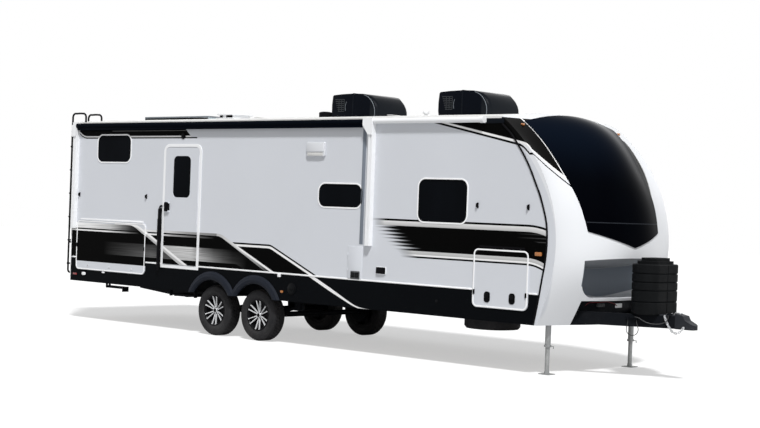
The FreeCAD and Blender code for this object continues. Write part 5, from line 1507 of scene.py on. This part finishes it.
def make_rear_gear():
    """Rims round the tail lamps, a row of small lamps, the blank plate's holder and its lamp, and a rail."""
    rims = []
    for side in (-1, 1):
        turns = [math.tau * i / 24 for i in range(24)]
        points = [(rear - 0.001, side * 1.02 + 0.082 * math.cos(turn), 1.12 + 0.082 * math.sin(turn))
                  for turn in turns]
        rims.append(bent(points, 0.007, 3, True))
    fit(rims, "tail_rims", seal_black)
    row = [plate((rear - 0.014, rear + 0.001), about(y, 0.032), (2.955, 2.985), 0.010, 0.004, "x")
           for y in (-1.05, -0.16, 0.0, 0.16, 1.05)]
    fit(row, "rear_markers", lens_red)
    holder = plate((rear - 0.012, rear + 0.001), (-0.17, 0.17), (0.82, 0.99), 0.012, 0.003, "x")
    lip = ring((rear - 0.016, rear - 0.008), (-0.17, 0.17), (0.82, 0.99), 0.012, 0.010, 0.002, "x")
    light = plate((rear - 0.035, rear + 0.001), (-0.05, 0.05), (0.995, 1.025), 0.008, 0.004, "x")
    fit([holder, lip, light], "plate_holder", seal_black)
    belt = block((rear - 0.008, rear + 0.001), (-1.20, 1.20), BELT_BAND, 0.002)
    fit(belt, "belt_rail_rear", bright_trim)


def make_awning_bits():
    """A thin grey-blue plate beside the awning's front arm, standing in for the arm's painted shadow on the
    wall, and the cloth's hem below the roll.
    """
    # Painted shadow: a thin grey-blue plate on the wall where the front arm's shadow falls
    rail = block(span(6.270, 6.329), layer(0.0003, 0.006), (1.440, 2.950), 0.002)
    fit(rail, "arm_shadow_strip", arm_shadow_grey)
    low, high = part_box("awning_roll")
    hem = block((low[0] + 0.02, high[0] - 0.02), layer(0.058, 0.062), (low[2] - 0.030, low[2] + 0.012),
                0.0015)
    fit(hem, "awning_hem", cloth)


# A rail of the ladder, from the wall at its foot up and over the roof's edge: places along and up
LADDER_RUN = ((0.0, 0.720), (-0.060, 0.722), (-0.094, 0.745), (-0.100, 0.800), (-0.100, 1.60),
              (-0.100, 2.40), (-0.100, 3.130), (-0.094, 3.195), (-0.060, 3.226), (0.0, 3.230),
              (0.150, 3.230), (0.205, 3.222), (0.236, 3.190), (0.240, 3.150))


def make_ladder():
    """The rear ladder: two bent rails with their rungs, feet and brackets."""
    parts = []
    for y in (-1.200, -0.900):
        foot = 3.155 - 0.09 * (abs(y) - 0.9)
        run = LADDER_RUN + ((0.240, foot - 0.12),)
        parts.append(bent([(at(x), y, z) for x, z in run], 0.0150, 5))
        parts += [block(span(-0.110, 0.001), about(y, 0.010), about(z, 0.014), 0.003)
                  for z in (1.20, 2.05, 2.86)]
    heights = [0.860 + 0.370 * i for i in range(6)]
    rungs = [rod((at(-0.100), -1.222, z), (at(-0.100), -0.880, z), 0.0125, 0.002) for z in heights]
    fit(parts + rungs, "ladder_rails", ladder_black, replaced="ladder")


def make_belly_pan():
    """The tank's dark pan that hangs between the rails behind the axles, and the hangers of the springs."""
    outline = ((1.10, 0.690), (1.14, 0.540), (1.60, 0.505), (2.05, 0.470), (2.35, 0.474), (2.62, 0.492),
               (2.66, 0.690))
    pan = ease(pulled([(at(x), z) for x, z in outline], -0.735, 0.735), 0.012, 3)
    straps = [block(span(x, x + 0.035), (-0.742, 0.742), (0.468, 0.480), 0.003) for x in (1.98, 2.24)]
    fit([pan] + straps, "belly_pan", frame_black)
    hangers = []
    for side in (-1, 1):
        across = between(side * 0.765, side * 0.785)
        hangers.append(plate(span(4.510, 4.650), across, (0.490, 0.640), 0.020, 0.003))
        hangers.append(plate(span(4.560, 4.840), across, (0.440, 0.545), 0.030, 0.003))
    fit(hangers, "spring_hangers", frame_black)


# Far side


def make_far_side():
    """The wiper seal round the slide-out room, and the seal of its panes."""
    seal = ring(span(4.884, 7.116), layer(0.0003, 0.014, 1), (0.934, 2.846), 0.03, 0.019)
    fit(seal, "room_seal", seal_black)
    low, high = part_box("room_glass")
    pane = ring((low[0] - 0.02, high[0] + 0.02), (high[1] - 0.001, high[1] + 0.006),
                (low[2] - 0.02, high[2] + 0.02), 0.06, 0.034)
    fit(pane, "room_pane_seal", seal_black, "slide_room")


make_camera()
make_lead("lead_brake", "brake_lead", BRAKE_LEAD, diameter=0.009)
make_lead("lead_power", "power_lead", POWER_LEAD, diameter=0.012)
make_lights()
make_floor()
finish_nodes()
make_belts()
make_corner_strips()
make_gaskets()
make_door_rims()
make_latches()
make_fittings()
make_entry_handle()
make_windows()
make_wheels()
make_cooler("cooler_rear")
make_cooler("cooler_front")
make_roof_trim()
make_roof_fittings()
make_front_gear()
make_valance_gear()
make_rear_gear()
make_awning_bits()
make_ladder()
make_belly_pan()
make_far_side()
